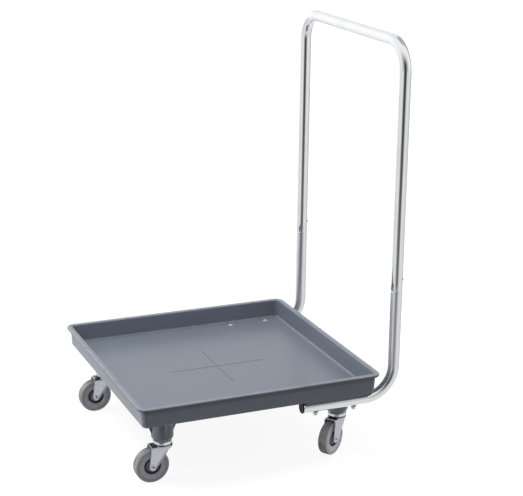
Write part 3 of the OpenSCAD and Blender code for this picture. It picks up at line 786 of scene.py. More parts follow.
def cross_groove(tray, x, y):
    """Share of the floor lines' depth at x, y: 1 on a line, smoothly 0 past its sides and ends."""
    far_x, far_y = np.abs(x), np.abs(y)
    narrow_x, narrow_y = (1 - smooth(far, 0.5 * MM, 1.1 * MM) for far in (far_x, far_y))
    ends = ((far_x, tray.cross_x / 2), (far_y, tray.cross_y / 2))
    short_x, short_y = (1 - smooth(far, half - MM, half) for far, half in ends)
    return np.maximum(narrow_y * short_x, narrow_x * short_y)


def build_tray_shell(tray):
    """Floor, walls and rim: the wall's section carried round the square, joined to the floor's two
    faces."""
    profile, rim = tray_profile(tray)
    reach = (TRAY_HIGH[0] - TRAY_LOW[0]) / 2 - rim
    middle = np.array([0.0, TRAY_MIDDLE_Y, tray_base(tray)])
    us, vs = tray_floor_lines(tray, reach)
    base, way = tray_rim_path(reach, us, vs)
    flat = base + profile[:, None, :1] * way
    heights = np.broadcast_to(profile[:, None, 1:], flat.shape[:2] + (1,))
    # painted highlights and painted shadow of the wall's section
    wear, grime = tray_highlight_and_shade(tray, profile, rim)
    shell = Shell()
    walls = middle + np.concatenate([flat, heights], axis=-1)
    shell.grid(walls, wear=wear[:, None], grime=grime[:, None])
    recess, deep = tray.recess / 2, tray.recess_depth
    rings = [
        (recess + 0.7 * MM, 0.0), (recess + 0.2 * MM, 0.15 * MM), (recess, 0.6 * MM),
        (recess, deep - 0.4 * MM), (recess - 0.4 * MM, deep), (0.0, deep),
    ]
    half = recess + tray.recess_border
    bolts = [(side * UPRIGHT_X, y) for side in SIDES.values() for y in bolt_places(tray)]
    points, faces = holed_grid(us, vs, [(*bolt, half, rings) for bolt in bolts])
    x, y, sunk = points.T
    groove = cross_groove(tray, x, y)
    top = np.stack([x, y, tray.floor - (sunk + tray.cross_depth * groove)], axis=-1)
    # painted shade in the fine floor lines and in the bolt recesses
    painted_groove_shade = np.maximum(groove, smooth(sunk, 0.3 * MM, 1.5 * MM))
    shell.faces_of(middle + top, faces, grime=painted_groove_shade)
    x, y = np.meshgrid(us, vs, indexing="ij")
    shell.grid(middle + np.stack([x, y, np.zeros_like(x)], axis=-1))
    shell.build("tray_shell", "dolly", "tray_plastic", TRAY_NODES)


def build_tray_bosses(tray):
    """Caster bosses: a turned section with a fillet under the floor, and four gussets on each."""
    radius, bore, root, fillet = tray.boss / 2, tray.boss_bore / 2, tray.root, tray.boss_fillet
    low = radius - tray.boss_taper
    top = tray_base(tray)
    drop = top - BOSS_Z
    bore_top = tray.boss_bore_depth - drop
    section = np.concatenate([
        [(0, root), (radius + fillet, root)],
        arc((radius + fillet, -fillet), fillet, 90, 180),
        rounded(
            [(radius, -fillet - MM), (radius, tray.boss_taper_height - drop), (low, -drop),
             (bore, -drop), (bore, bore_top), (0, bore_top)],
            mm(0, 3, 1.2, 0.5, 0, 0),
        ),
    ])
    paler_edge = smooth(-section[:, 1], drop - 3 * MM, drop - MM)
    paler_edge *= smooth(section[:, 0], low - 2 * MM, low)
    room = UPRIGHT_X - TUBE_R - BOSS_X - radius - tray.gusset_gap
    for caster in CASTERS:
        x, y = JOINTS[caster + "_swivel"]["pos_m"][:2]
        place = np.array([x, y, top])
        shell = Shell().turn(section, place, Z_AXIS, X_AXIS, 72, wear=0.4 * paler_edge)
        for out in (X_AXIS, Y_AXIS, -X_AXIS, -Y_AXIS):
            beside_leg = y > TRAY_MIDDLE_Y and out[0] * x > 0
            far = radius + (min(tray.gusset_reach, room) if beside_leg else tray.gusset_reach)
            near, foot = radius - MM, -tray.gusset_height
            outline = rounded(
                [(near, root), (far, root), (far, -0.5 * MM),
                 (radius + 0.6 * MM, foot), (near, foot)],
                mm(0, 0, 1.5, 0.8, 0), closed=True, steps=6,
            )
            shell.grid(slab(outline, tray.gusset, tray.plate_edge, place, out, Z_AXIS))
        shell.build("tray_boss_" + caster, "dolly", "tray_plastic", ["tray"])


def build_tray_saddles(tray, handle):
    """Saddles over the handle legs: a section with a round groove for the tube, carried along Y and
    closed by a strip between its outside and its groove at each end."""
    top = tray_base(tray)
    leg_z = LEG_Z - top
    groove = TUBE_R + tray.saddle_gap
    low = leg_z + TUBE_R - tray.saddle_wrap
    half, root = tray.saddle / 2, tray.root
    lip = math.sqrt(groove ** 2 - (low - leg_z) ** 2) + 0.2 * MM
    outside = rounded(
        [(-lip, low), (-half, low), (-half, root), (half, root), (half, low), (lip, low)],
        mm(0, 1.2, 0, 0, 1.2, 0), steps=7,
    )
    count = len(outside)
    tilt = math.degrees(math.asin((low - leg_z) / groove))
    inside = arc((0, leg_z), groove, 180 - tilt, tilt, count)
    around = loop_of(np.concatenate([outside, inside[::-1]]))
    edge = tray.saddle_edge
    start, end = LEG_FRONT + tray.saddle_start, UPRIGHT_Y - handle.leg_bend
    stations = np.array([start, start + edge, end - edge, end])
    drawn_in = edge * np.array([1, 0, 0, 1])
    x, z = np.repeat(around[None], len(stations), axis=0).transpose(2, 0, 1)
    z = z + drawn_in[:, None] * smooth(-z, -low - 1.5 * MM, -low)
    section = x[..., None] * X_AXIS + z[..., None] * Z_AXIS + stations[:, None, None] * Y_AXIS
    for side, sign in SIDES.items():
        points = np.array([sign * UPRIGHT_X, 0.0, top]) + section
        shell = Shell().grid(points)
        for row in points[[0, -1]]:
            shell.grid(np.stack([row[:count], row[count:2 * count][::-1]]))
        shell.build("tray_saddle_" + side, "dolly", "tray_plastic", ["tray"])


def build_tray_ribs(tray):
    """Ribs under the floor lines: two thin plates."""
    middle = np.array([0.0, TRAY_MIDDLE_Y, tray_base(tray)])
    shell = Shell()
    for length, along in ((tray.cross_x, X_AXIS), (tray.cross_y, Y_AXIS)):
        half, low = length / 2, -tray.rib_depth
        outline = rounded(
            [(-half, tray.root), (-half, low), (half, low), (half, tray.root)],
            [0, tray.rib_round, tray.rib_round, 0], closed=True,
        )
        shell.grid(slab(outline, tray.rib, 0.8 * MM, middle, along, Z_AXIS))
    shell.build("tray_ribs", "dolly", "tray_plastic", ["tray"])


# Handle: a path is its start, its heading in degrees, and its parts

def part_length(amount, radius):
    """Length of a straight, (length, 0), or a bend, (angle, radius)."""
    return amount if radius == 0 else math.radians(amount) * radius


def bent_path(start, heading, parts, u):
    """Point and heading in a plane at each length u along straights and bends: on a straight
    start + s (cos h, sin h), on a bend centre + r (sin h, -cos h), turning left by s / r."""
    point, turn, done = np.array(start, float), math.radians(heading), 0.0
    where, angle = np.zeros(u.shape + (2,)), np.zeros(u.shape)
    for k, (amount, radius) in enumerate(parts):
        length = part_length(amount, radius)
        last = k == len(parts) - 1
        here = (u >= done - 1e-12) & ((u <= done + length + 1e-12) | last)
        s = u - done
        if radius == 0:
            ahead = np.array([math.cos(turn), math.sin(turn)])
            there, bend = point + s[..., None] * ahead, np.full(u.shape, turn)
            point = point + length * ahead
        else:
            centre = point + radius * np.array([-math.sin(turn), math.cos(turn)])
            bend = turn + s / radius
            there = centre + radius * np.stack([np.sin(bend), -np.cos(bend)], axis=-1)
            turn += math.radians(amount)
            point = centre + radius * np.array([math.sin(turn), -math.cos(turn)])
        where = np.where(here[..., None], there, where)
        angle = np.where(here, bend, angle)
        done += length
    return where, angle


def path_stations(parts, bend_steps=36):
    """Lengths along a path at the ends of its parts, and evenly through its bends."""
    lengths, done = [0.0], 0.0
    for amount, radius in parts:
        end = done + part_length(amount, radius)
        lengths += list(np.linspace(done, end, 2 if radius == 0 else bend_steps)[1:])
        done = end
    return np.array(lengths)


def tube_points(path, axes, u, radius, angle):
    """Tube surface: centre(u) + r (cos a n + sin a m), with n the plane's normal and m the path's
    own left side."""
    origin, across, up = axes
    where, turn = bent_path(*path, u)
    left = -np.sin(turn)[..., None] * across + np.cos(turn)[..., None] * up
    centre = origin + where[..., :1] * across + where[..., 1:] * up
    radius, angle = radius[..., None], angle[..., None]
    return centre + radius * (np.cos(angle) * np.cross(across, up) + np.sin(angle) * left)


def at_stations(s, table):
    """Length and radius at stations s, from a table of stations, lengths and radii."""
    return np.array([np.interp(s, table[0], values) for values in table[1:]])


def build_tube(name, path, axes, outer, inner, holes, lines, scuffed, replaces):
    """Tube with its bore: the same grid of path lengths and angles is mapped on the outside and on
    the bore, joined through its button holes, and closed by a ring at each end. outer and inner are
    tables of stations, lengths and radii, lines are the grid's, scuffed is the wear by length."""
    stations, around = lines
    points, faces = holed_grid(stations, around, holes)
    outside, inside = at_stations(points[:, 0], outer), at_stations(points[:, 0], inner)
    u, r = outside + points[:, 2] * (inside - outside)
    run = np.stack([points[:, 1] / (2 * math.pi * TUBE_R), u], axis=-1)
    skin = tube_points(path, axes, u, r, points[:, 1] / TUBE_R)
    shell = Shell().faces_of(skin, faces, run, wear=np.interp(u, *scuffed))
    flat = [(*hole[:3], [(hole[3][-1][0], 0.0)]) for hole in holes]
    bore, bore_faces = holed_grid(stations, around, flat)
    u, r = at_stations(bore[:, 0], inner)
    shell.faces_of(tube_points(path, axes, u, r, bore[:, 1] / TUBE_R), bore_faces)
    for s in stations[[0, -1]]:
        ring_u, ring_r = np.stack([at_stations(s, table) for table in (outer, inner)], axis=-1)
        u, a = np.meshgrid(ring_u, around / TUBE_R, indexing="ij")
        shell.grid(tube_points(path, axes, u, np.broadcast_to(ring_r[:, None], u.shape), a))
    shell.build(name, "dolly", "chrome_tube", replaces)


def button_hole(handle):
    """Half width of the grid's block round a snap button's hole, the block's lines, and the hole's
    rings as (radius, share of the wall): a softly rounded edge, then straight through."""
    hole = handle.button_hole / 2
    half = hole + handle.button_border
    rings = [(hole + 0.5 * MM, 0.0), (hole + 0.2 * MM, 0.06), (hole, 0.25), (hole, 1.0)]
    return half, np.linspace(-half, half, 9), rings


def rounded_end(length, drop, shares):
    """Lengths from a tube's end and its radii there, which fall by drop along a quarter ellipse."""
    shares = np.asarray(shares)
    return shares * length, TUBE_R - drop * (1 - np.sqrt(1 - (1 - shares) ** 2))


CUT_SHARES = (0.0, 0.3, 0.65, 1.0)
CUT_DROP = 0.8
TUBE_LINES = np.linspace(-math.pi, math.pi, 65) * TUBE_R


def build_handle_loop(handle):
    """Upper tube: up one side, round two corners along the push bar, and down the other."""
    low, bend = LOOP_LOW[2], handle.bar_bend
    rise = LOOP_HIGH[2] - TUBE_R - bend - low
    parts = [(rise, 0), (90, bend), (2 * (UPRIGHT_X - bend), 0), (90, bend), (rise, 0)]
    stops = path_stations(parts)
    total = stops[-1]
    hole_u = BUTTON_Z - low
    half, block, rings = button_hole(handle)
    cut, fall = rounded_end(handle.edge, CUT_DROP * handle.edge, CUT_SHARES)
    stations = lines_of(stops, cut, total - cut, hole_u + block, total - hole_u - block)
    ends = np.concatenate([cut, total - cut[::-1]])
    whole = np.array([0.0, total])
    build_tube(
        "handle_loop_tube",
        ((UPRIGHT_X, low), 90, parts),
        (np.array([0.0, UPRIGHT_Y, 0.0]), -X_AXIS, Z_AXIS),
        (ends, ends, np.concatenate([fall, fall[::-1]])),
        (whole, whole, np.full(2, TUBE_R - handle.wall)),
        [(u, 0.0, half, rings) for u in (hole_u, total - hole_u)],
        (stations, lines_of(TUBE_LINES, block)),
        ([0], [0]),
        ["handle_loop"],
    )


def build_handle_legs(handle):
    """Lower tubes: forward part under the tray, bend, upright, and the spigot up into the loop."""
    joint, bend = LOOP_LOW[2], handle.leg_bend
    level = UPRIGHT_Y - bend - LEG_FRONT
    rise = joint - LEG_Z - bend
    stops = path_stations([(level, 0), (90, bend), (rise, 0)])
    length = stops[-1]
    cut, fall = rounded_end(handle.edge, CUT_DROP * handle.edge, CUT_SHARES)
    top, top_fall = rounded_end(handle.joint, handle.joint_drop, np.linspace(0.0, 1.0, 7))
    bore = TUBE_R - handle.wall
    spigot = bore - handle.spigot_gap
    step = TUBE_R - spigot
    total, end = length + step + handle.spigot, length + handle.spigot
    outer = (
        np.concatenate([cut, length - top[::-1], [length + step, total - MM, total]]),
        np.concatenate([cut, length - top[::-1], [length, end - MM, end]]),
        np.concatenate([fall, top_fall[::-1], [spigot, spigot, spigot - handle.spigot_edge]]),
    )
    below, thin = length - handle.shoulder, spigot - handle.wall
    inner = (
        [0.0, length, length + step, total], [0.0, below, below, end], [bore, bore, thin, thin],
    )
    hole_s = length + step + (BUTTON_Z - joint)
    half, block, rings = button_hole(handle)
    quarter = -math.pi / 2 * TUBE_R
    steps = [length + step, total - MM, total]
    stations = lines_of(stops, cut, length - top, steps, hole_s + block)
    for side, sign in SIDES.items():
        build_tube(
            "handle_leg_tube_" + side,
            ((LEG_FRONT, LEG_Z), 0, [(level, 0), (90, bend), (rise + handle.spigot, 0)]),
            (np.array([sign * UPRIGHT_X, 0.0, 0.0]), Y_AXIS, Z_AXIS),
            outer,
            inner,
            [(hole_s, quarter, half, rings)],
            (stations, lines_of(TUBE_LINES, quarter + block)),
            ([level, stops[-2]], [0.0, 1.0]),
            ["handle_leg_" + side],
        )


def build_leg_plugs(handle):
    """End plugs: a turned cap with a rounded edge and a shallow dish, on a hollow body."""
    body = TUBE_R - handle.wall - handle.plug_gap
    hollow = body - handle.plug_wall
    cap = handle.plug_cap
    dish = handle.plug_dish - cap
    length = PLUG_HIGH[1] - PLUG_LOW[1] - cap
    section = rounded(
        [(0, dish), (TUBE_R - 4.2 * MM, dish), (TUBE_R - 3.2 * MM, -cap), (TUBE_R, -cap),
         (TUBE_R, 0), (body, 0), (body, length), (hollow, length), (hollow, 0), (0, 0)],
        mm(0, 0.6, 0.5, 1.2, 0.1, 0, 0.5, 0.2, 0, 0),
    )
    for side, sign in SIDES.items():
        place = np.array([sign * UPRIGHT_X, LEG_FRONT, LEG_Z])
        plug = Shell().turn(section, place, Y_AXIS, X_AXIS)
        plug.build("leg_end_plug_" + side, "dolly", "black_plastic", ["leg_plug_" + side])


def build_button_springs(handle):
    """Button springs: centre(u) + n left(u) + x, a rounded strip (n, x) carried down the back arm,
    round the bow and up the front arm."""
    thick = handle.spring
    for side in SIDES:
        low, high = node_box("button_spring_" + side)
        middle_x, half = (low[0] + high[0]) / 2, (high[0] - low[0]) / 2
        bow = (high[1] - low[1] - thick) / 2
        arm = high[2] - low[2] - bow - thick / 2
        parts = [(arm, 0), (180, bow), (arm, 0)]
        where, turn = bent_path((low[1] + thick / 2, high[2]), -90, parts, path_stations(parts))
        flat = thick / 2
        corners = [(-flat, -half), (flat, -half), (flat, half), (-flat, half)]
        strip = loop_of(rounded(corners, [0.35 * thick] * 4, closed=True, steps=4))
        centre = where[:, :1] * Y_AXIS + where[:, 1:] * Z_AXIS
        left = -np.sin(turn)[:, None] * Y_AXIS + np.cos(turn)[:, None] * Z_AXIS
        spine = centre[:, None] + (middle_x + strip[:, 1:]) * X_AXIS
        points = spine + strip[:, :1] * left[:, None]
        shell = Shell().grid(points)
        for row in (0, -1):
            shell.grid(np.stack([points[row], spine[row]]))
        piece = shell.build("leaf_spring_" + side, None, "zinc_steel", ["button_spring_" + side])
        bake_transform(piece)


# Casters: s holds their sizes

def caster_axes(caster):
    """Swivel point on the floor, axle point, and the caster's own across and along directions."""
    swivel, roll = (JOINTS[caster + joint] for joint in ("_swivel", "_roll"))
    across = np.array(roll["axis"], float)
    across /= np.linalg.norm(across)
    place = np.array([*swivel["pos_m"][:2], 0.0])
    return place, np.array(roll["pos_m"], float), across, np.cross(Z_AXIS, across)


def crown_height(s):
    """Height of the fork's crown above the floor."""
    return 2 * WHEEL_R + s.wheel_gap + s.sheet


def touching(point, centre, radius, side):
    """Point where a line from point touches a circle: centre + r (cos a, sin a), with a turned by
    side * acos(r / d)."""
    away = point - centre
    a = math.atan2(away[1], away[0]) + side * math.acos(radius / np.linalg.norm(away))
    return centre + radius * np.array([math.cos(a), math.sin(a)])


def fork_arch(s, tip):
    """Middle line of the fork's sheet, up one leg, over the crown and down the other: x, z, and the
    outward direction's x and z, at each station."""
    crown = crown_height(s)
    half = HUB_HALF + s.side_gap + s.sheet / 2
    bend, ridge = s.fork_bend - s.sheet / 2, crown - s.sheet / 2
    drop = lines_of(
        tip[1] - s.tip * np.cos(np.linspace(0.0, 0.55 * math.pi, 14)),
        np.linspace(tip[1] + 0.3 * s.tip, crown - s.fork_bend, 20),
    )
    fold = np.radians(np.linspace(0, 90, 9))[1:]
    top = np.linspace(half - bend, 0, 12)[1:]
    leg, flat = np.ones(len(drop)), np.ones(len(top))
    x = np.concatenate([half * leg, half - bend + bend * np.cos(fold), top])
    z = np.concatenate([drop, ridge - bend + bend * np.sin(fold), ridge * flat])
    out_x = np.concatenate([leg, np.cos(fold), 0 * flat])
    out_z = np.concatenate([0 * leg, np.sin(fold), flat])
    halves = ((x, -1), (z, 1), (out_x, -1), (out_z, 1))
    return [np.concatenate([part, sign * part[-2::-1]]) for part, sign in halves]


def fork_edges(s, tip, x, z):
    """Front and rear edge of the sheet at each station: the round tip, straight lines that touch
    it, and the crown's round rear end."""
    crown = crown_height(s)
    level = np.clip(z, tip[1] - s.tip, None)
    round_half = np.sqrt(np.clip(s.tip ** 2 - (level - tip[1]) ** 2, 0.0, None))
    tops = {1: (tip[0] - s.crown_past, crown), -1: (s.leg_rear, crown - s.crown_edge)}
    edges = []
    for side, top in tops.items():
        touch = touching(np.array(top), tip, s.tip, side)
        line = np.interp(z, [touch[1], top[1]], [touch[0], top[0]])
        edges.append(np.where(z < touch[1], tip[0] - side * round_half, line))
    front, rear = edges
    crown_end = np.sqrt(np.clip(s.crown_rear ** 2 - x ** 2, 0.0, None))
    on_crown = smooth(z, crown - s.crown_edge - 3 * MM, crown - s.sheet / 2 - 1.5 * MM)
    return front, rear + (crown_end - rear) * on_crown


def wrapped(outside, inside):
    """Rows round a closed strip: along its outside, back along its inside, to the start again."""
    return np.concatenate([outside, inside[:, ::-1], outside[:, :1]], axis=1)


def build_forks(s):
    """Pressed forks: a rounded sheet section carried over an arch, from one leg's round tip up,
    across the crown and down the other leg. The section's width follows the leg's side outline, its
    edges are drawn in by quarter circles, and its rear edge is rolled outwards."""
    crown, race = crown_height(s), s.race / 2
    ridge = crown - s.sheet / 2
    bore = s.stem / 2 + s.stem_gap
    low, high = crown - s.sheet, crown + s.race_height
    section = loop_of(rounded(
        [(bore, low), (race, low), (race, high), (bore, high)], mm(0, 1.6, 0.8, 0), closed=True,
    ))
    # painted shade on the race's side, in the gap under the cup
    painted_gap_shade = smooth(section[:, 0], race - 0.9 * MM, race - 0.2 * MM)
    painted_gap_shade *= smooth(section[:, 1], crown, crown + 0.2 * MM)
    q = np.linspace(0.0, math.pi / 2, 5)[:-1]
    flat = np.linspace(0.0, 1.0, 26)
    edges = np.concatenate([1 - np.cos(q), 1 + 0 * flat, 1 + np.cos(q[::-1])])
    between = np.concatenate([0 * q, flat, 1 + 0 * q])
    round_off = np.concatenate([1 - np.sin(q), 0 * flat, 1 - np.sin(q[::-1])])
    for caster in CASTERS:
        place, axle, across, along = caster_axes(caster)
        tip = np.array([-np.linalg.norm(axle[:2] - place[:2]), axle[2]])
        arch = fork_arch(s, tip)
        rows = (*arch, *fork_edges(s, tip, *arch[:2]))
        x, z, out_x, out_z, front, rear = (row[:, None] for row in rows)
        width = np.maximum(rear - front, 20 * WELD)
        edge = np.minimum(0.42 * s.sheet, 0.49 * width)
        y = front + edge * edges + (width - 2 * edge) * between
        lift = s.sheet / 2 - edge * round_off
        to_edge = np.minimum(rear - y, np.maximum(z - (tip[1] - s.tip), 0.0))
        on_leg = 1 - smooth(z, crown - 16 * MM, crown - 7 * MM)
        # rolled rear edge: its shape, and a painted highlight on it
        rolled = (1 - smooth(to_edge, 0.0, s.flange_width)) * on_leg
        roll = s.flange * rolled * smooth(width, 2 * MM, 10 * MM)
        faces = []
        for offset in (lift + roll, roll - lift):
            px, pz = ((at + out * offset)[..., None] for at, out in ((x, out_x), (z, out_z)))
            faces.append(place + px * across + y[..., None] * along + pz * Z_AXIS)
        # painted dark reflection on the crown top and the bend's upper part; the front edge is left
        # unpainted
        painted_dark_reflection = smooth(z, ridge - 2.6 * MM, ridge - 0.6 * MM) * smooth(y - front, MM, 3 * MM)
        shell = Shell().grid(
            wrapped(*faces), wear=wrapped(rolled, rolled), grime=0.85 * wrapped(painted_dark_reflection, 0 * painted_dark_reflection)
        )
        for row in (0, -1):
            shell.grid(np.stack([face[row] for face in faces]))
        shell.turn(section, place, Z_AXIS, across, 72, grime=painted_gap_shade)
        shell.build(caster + "_pressed_fork", caster + "_caster", "zinc_steel", [caster + "_fork"])


def build_swivel_cups(s):
    """Upper cups: a turned skirt with soft edges over the balls."""
    bore = s.stem / 2 + s.stem_gap
    outer = (CUP_HIGH[0] - CUP_LOW[0]) / 2
    skirt = outer - s.cup_skirt
    low, high = CUP_LOW[2], CUP_HIGH[2]
    face = crown_height(s) + s.cup_face
    section = loop_of(rounded(
        [(bore, face), (skirt, face), (skirt, low), (outer, low), (outer, high), (bore, high)],
        mm(0, 0.5, 0.4, 0.6, 1.8, 0), closed=True,
    ))
    for caster in CASTERS:
        cup = Shell().turn(section, caster_axes(caster)[0], Z_AXIS, X_AXIS, 72)
        cup.build(caster + "_upper_cup", "dolly", "bright_steel", [caster + "_swivel_cup"])


def both_halves(section):
    """A half section and its mirror image across the wheel's middle, as a closed outline."""
    mirrored = section[::-1] * [1.0, -1.0]
    return loop_of(np.concatenate([section, mirrored[1:]]))


def tyre_section(s):
    """Section of a tyre as (radius, distance from its middle), with its dust and its painted shade:
    bore, dished face, fine line, rounded edge, and a tread with a fine mould seam along its middle."""
    bore = s.hub / 2 + s.tyre_gap
    line, fine, edge, seam = WHEEL_R - s.tyre_line, 0.8 * MM, s.tyre_round, s.tyre_seam
    face = TYRE_HALF - 0.35 * MM
    dish_r = np.linspace(bore + 1.2 * MM, line - fine - 0.6 * MM, 12)
    dish = face - 0.3 * MM * np.sin(math.pi * (dish_r - dish_r[0]) / (dish_r[-1] - dish_r[0]))
    w = np.linspace(TYRE_HALF - edge, 0.0, 13)[1:]
    tread = WHEEL_R - seam + seam * np.exp(-(w / (0.45 * MM)) ** 2)
    section = both_halves(np.concatenate([
        [(bore, 0.0), (bore, face - 0.7 * MM), (bore + 0.5 * MM, face - 0.1 * MM)],
        np.stack([dish_r, dish], axis=-1),
        [(line - fine, face)],
        arc((line, TYRE_HALF), fine, 206, 360),
        arc((WHEEL_R - edge, TYRE_HALF - edge), edge - seam / 2, 90, 0, 12),
        np.stack([tread, w], axis=-1),
    ]))
    radius, side = section[:, 0], np.abs(section[:, 1])
    on_tread = smooth(radius, WHEEL_R - 1.2 * MM, WHEEL_R - 0.3 * MM)
    dusty = np.maximum(on_tread, 0.25 * smooth(radius, line, line + MM))
    # painted shade in the fine line
    painted_line_shade = np.exp(-((radius - line) / (0.7 * MM)) ** 2)
    return section, dusty, painted_line_shade * smooth(side, TYRE_HALF - 2 * MM, TYRE_HALF - MM)


def hub_section(s):
    """Section of a hub as (radius, distance from its middle), with painted light and no painted
    shade:
    boss, sloping face, round channel and rim."""
    half, web = HUB_HALF, s.hub_web / 2
    bore, boss, rim, rim_half = s.hub_bore / 2, s.hub_boss / 2, s.hub / 2, s.hub_rim / 2
    cone = boss + s.hub_cone
    section = both_halves(rounded(
        [(bore, 0.0), (bore, half), (boss, half), (boss + 0.5 * MM, half - 3 * MM),
         (cone, half - s.hub_cone), (cone + 0.6 * MM, web), (rim - 2.6 * MM, web),
         (rim - 2 * MM, rim_half), (rim, rim_half), (rim, 0.0)],
        mm(0, 0.3, 0.6, 0.8, 1.0, 0.8, 0.8, 0.6, 0.4, 0), steps=6,
    ))
    # painted light on the boss and its slope
    return section, 1 - smooth(section[:, 0], cone - 0.6 * MM, cone + 0.3 * MM), 0.0


def rivet_section(s):
    """Section of an axle rivet as (radius, distance from its middle), with no wear and with painted
    shade:
    two heads with a hollow in each."""
    out = HUB_HALF + s.side_gap + s.sheet
    head, shank, hollow = s.rivet_head / 2, s.rivet / 2, s.rivet_hollow / 2
    end = out + s.rivet_head_height
    deep = end - s.rivet_hollow_depth
    section = both_halves(rounded(
        [(0, deep), (hollow - 0.2 * MM, deep), (hollow, end), (head, end), (head, out),
         (shank, out), (shank, 0.0)],
        mm(0, 0.5, 0.4, 0.9, 0.1, 0, 0), steps=6,
    ))
    # painted shade in the hollows
    painted_hollow_shade = smooth(end - np.abs(section[:, 1]), 0.25 * MM, 0.7 * MM)
    return section, 0.0, painted_hollow_shade * (1 - smooth(section[:, 0], hollow, hollow + 0.2 * MM))


def build_wheels(s):
    """Wheels: tyre, hub and axle rivet, each a section turned about the axle."""
    pieces = (
        ("_rubber_tyre", "_wheel", "tyre_rubber", "_tyre", tyre_section(s), 96),
        ("_moulded_hub", "_wheel", "hub_plastic", "_wheel_hub", hub_section(s), 72),
        ("_peened_rivet", "_caster", "zinc_steel", "_axle_rivet", rivet_section(s), 48),
    )
    for caster in CASTERS:
        _, axle, across, _ = caster_axes(caster)
        for name, body, slot, node, (section, wear, grime), turns in pieces:
            piece = Shell().turn(section, axle, across, Z_AXIS, turns, wear, grime)
            piece.build(caster + name, caster + body, slot, [caster + node])


# Stage

CAMERA_AZIMUTH, CAMERA_ELEVATION, CAMERA_ROLL = 66.73, 16.91, 0.75
CAMERA_PLACE = (2.9030, -1.17125, 1.3830)
CAMERA_CLIP = 200.0
IMAGE_WIDTH, FOCAL_PIXELS, SENSOR = 523, 1467, 36.0
FLOOR_HALF = 30.0
FLOOR_GLOW, FLOOR_GLOW_START, FLOOR_GLOW_END = 0.88, 0.9, 2.4
BLACK, WHITE = (0.0, 0.0, 0.0, 1.0), (1.0, 1.0, 1.0, 1.0)
FLOOR_BOUNCE = (0.22, 0.22, 0.22, 1.0)
FILL = (0.375, 0.355, 0.38, 1.0)
LOW_WALL = (0.80, 0.80, 0.81, 1.0)
DARK_WALL = (0.05, 0.05, 0.053, 1.0)
SOFT_BOX = (1.15, 1.15, 1.15, 1.0)
BAND_TURN = -4.0
CARD_WAY, OVERHEAD_WAY, SOFT_BOX_WAY = (-0.53, 0.85, 0.0), (-0.27, 0.39, 0.88), (-0.9, -0.42, 0.13)
ROOM_SHADE, SIDE_SHADE, CARD_SHADE, OVERHEAD_SHADE, EDGE_SHADE = 0.55, 0.2, 0.7, 0.6, 0.09
LAMPS = {  # place, aim, width, height and power
    "key": ((-0.4, -1.1, 3.0), (0.0, 0.0, 0.15), 2.2, 2.2, 75.0),
    "bounce": ((-0.6, -2.5, 0.1), (0.0, -0.3, 0.17), 0.8, 0.35, 36.0),
    "back": ((0.0, 1.15, 0.12), (0.0, 0.25, 0.17), 0.5, 0.3, 10.0),
}


def stand(name, data, right, up, back, place):
    """Adds a camera or lamp at a place, with its own right, up and back directions."""
    thing = bpy.data.objects.new(name, data)
    matrix = np.eye(4)
    matrix[:3] = np.stack([right, up, back, place], axis=1)
    thing.matrix_world = Matrix(matrix.tolist())
    bpy.context.scene.collection.objects.link(thing)
    return thing


def add_camera():
    """Camera at the photograph's angle: right, up and back from azimuth, elevation and roll."""
    angles = (CAMERA_AZIMUTH, CAMERA_ELEVATION, CAMERA_ROLL)
    a, e, r = (math.radians(angle) for angle in angles)
    back = np.array([math.sin(a) * math.cos(e), -math.cos(a) * math.cos(e), math.sin(e)])
    right = np.array([math.cos(a), math.sin(a), 0.0])
    up = np.cross(back, right)
    rolled_right = right * math.cos(r) + up * math.sin(r)
    rolled_up = up * math.cos(r) - right * math.sin(r)
    data = bpy.data.cameras.new("camera")
    data.sensor_width = SENSOR
    data.lens = FOCAL_PIXELS / IMAGE_WIDTH * SENSOR
    data.clip_end = CAMERA_CLIP
    bpy.context.scene.camera = stand("camera", data, rolled_right, rolled_up, back, CAMERA_PLACE)


def add_lamp(name, place, aim, width, height, power):
    """Soft rectangular lamp at a place, facing its aim."""
    data = bpy.data.lights.new(name, "AREA")
    data.shape = "RECTANGLE"
    data.size, data.size_y, data.energy = width, height, power
    back = np.subtract(place, aim) / np.linalg.norm(np.subtract(place, aim))
    right = np.cross(Z_AXIS, back)
    right = right / np.linalg.norm(right)
    lamp = stand(name, data, right, np.cross(back, right), back, place)
    lamp.visible_camera = lamp.visible_glossy = False


def seen_rays(finish):
    """Two values: 1 for rays from the camera and through clear things, and 1 for mirrored rays."""
    names = ("Is Camera Ray", "Is Transmission Ray", "Is Glossy Ray")
    camera, clear, mirrored = [finish.node("ShaderNodeLightPath", out=name) for name in names]
    return (camera + clear).at_most(1.0), mirrored


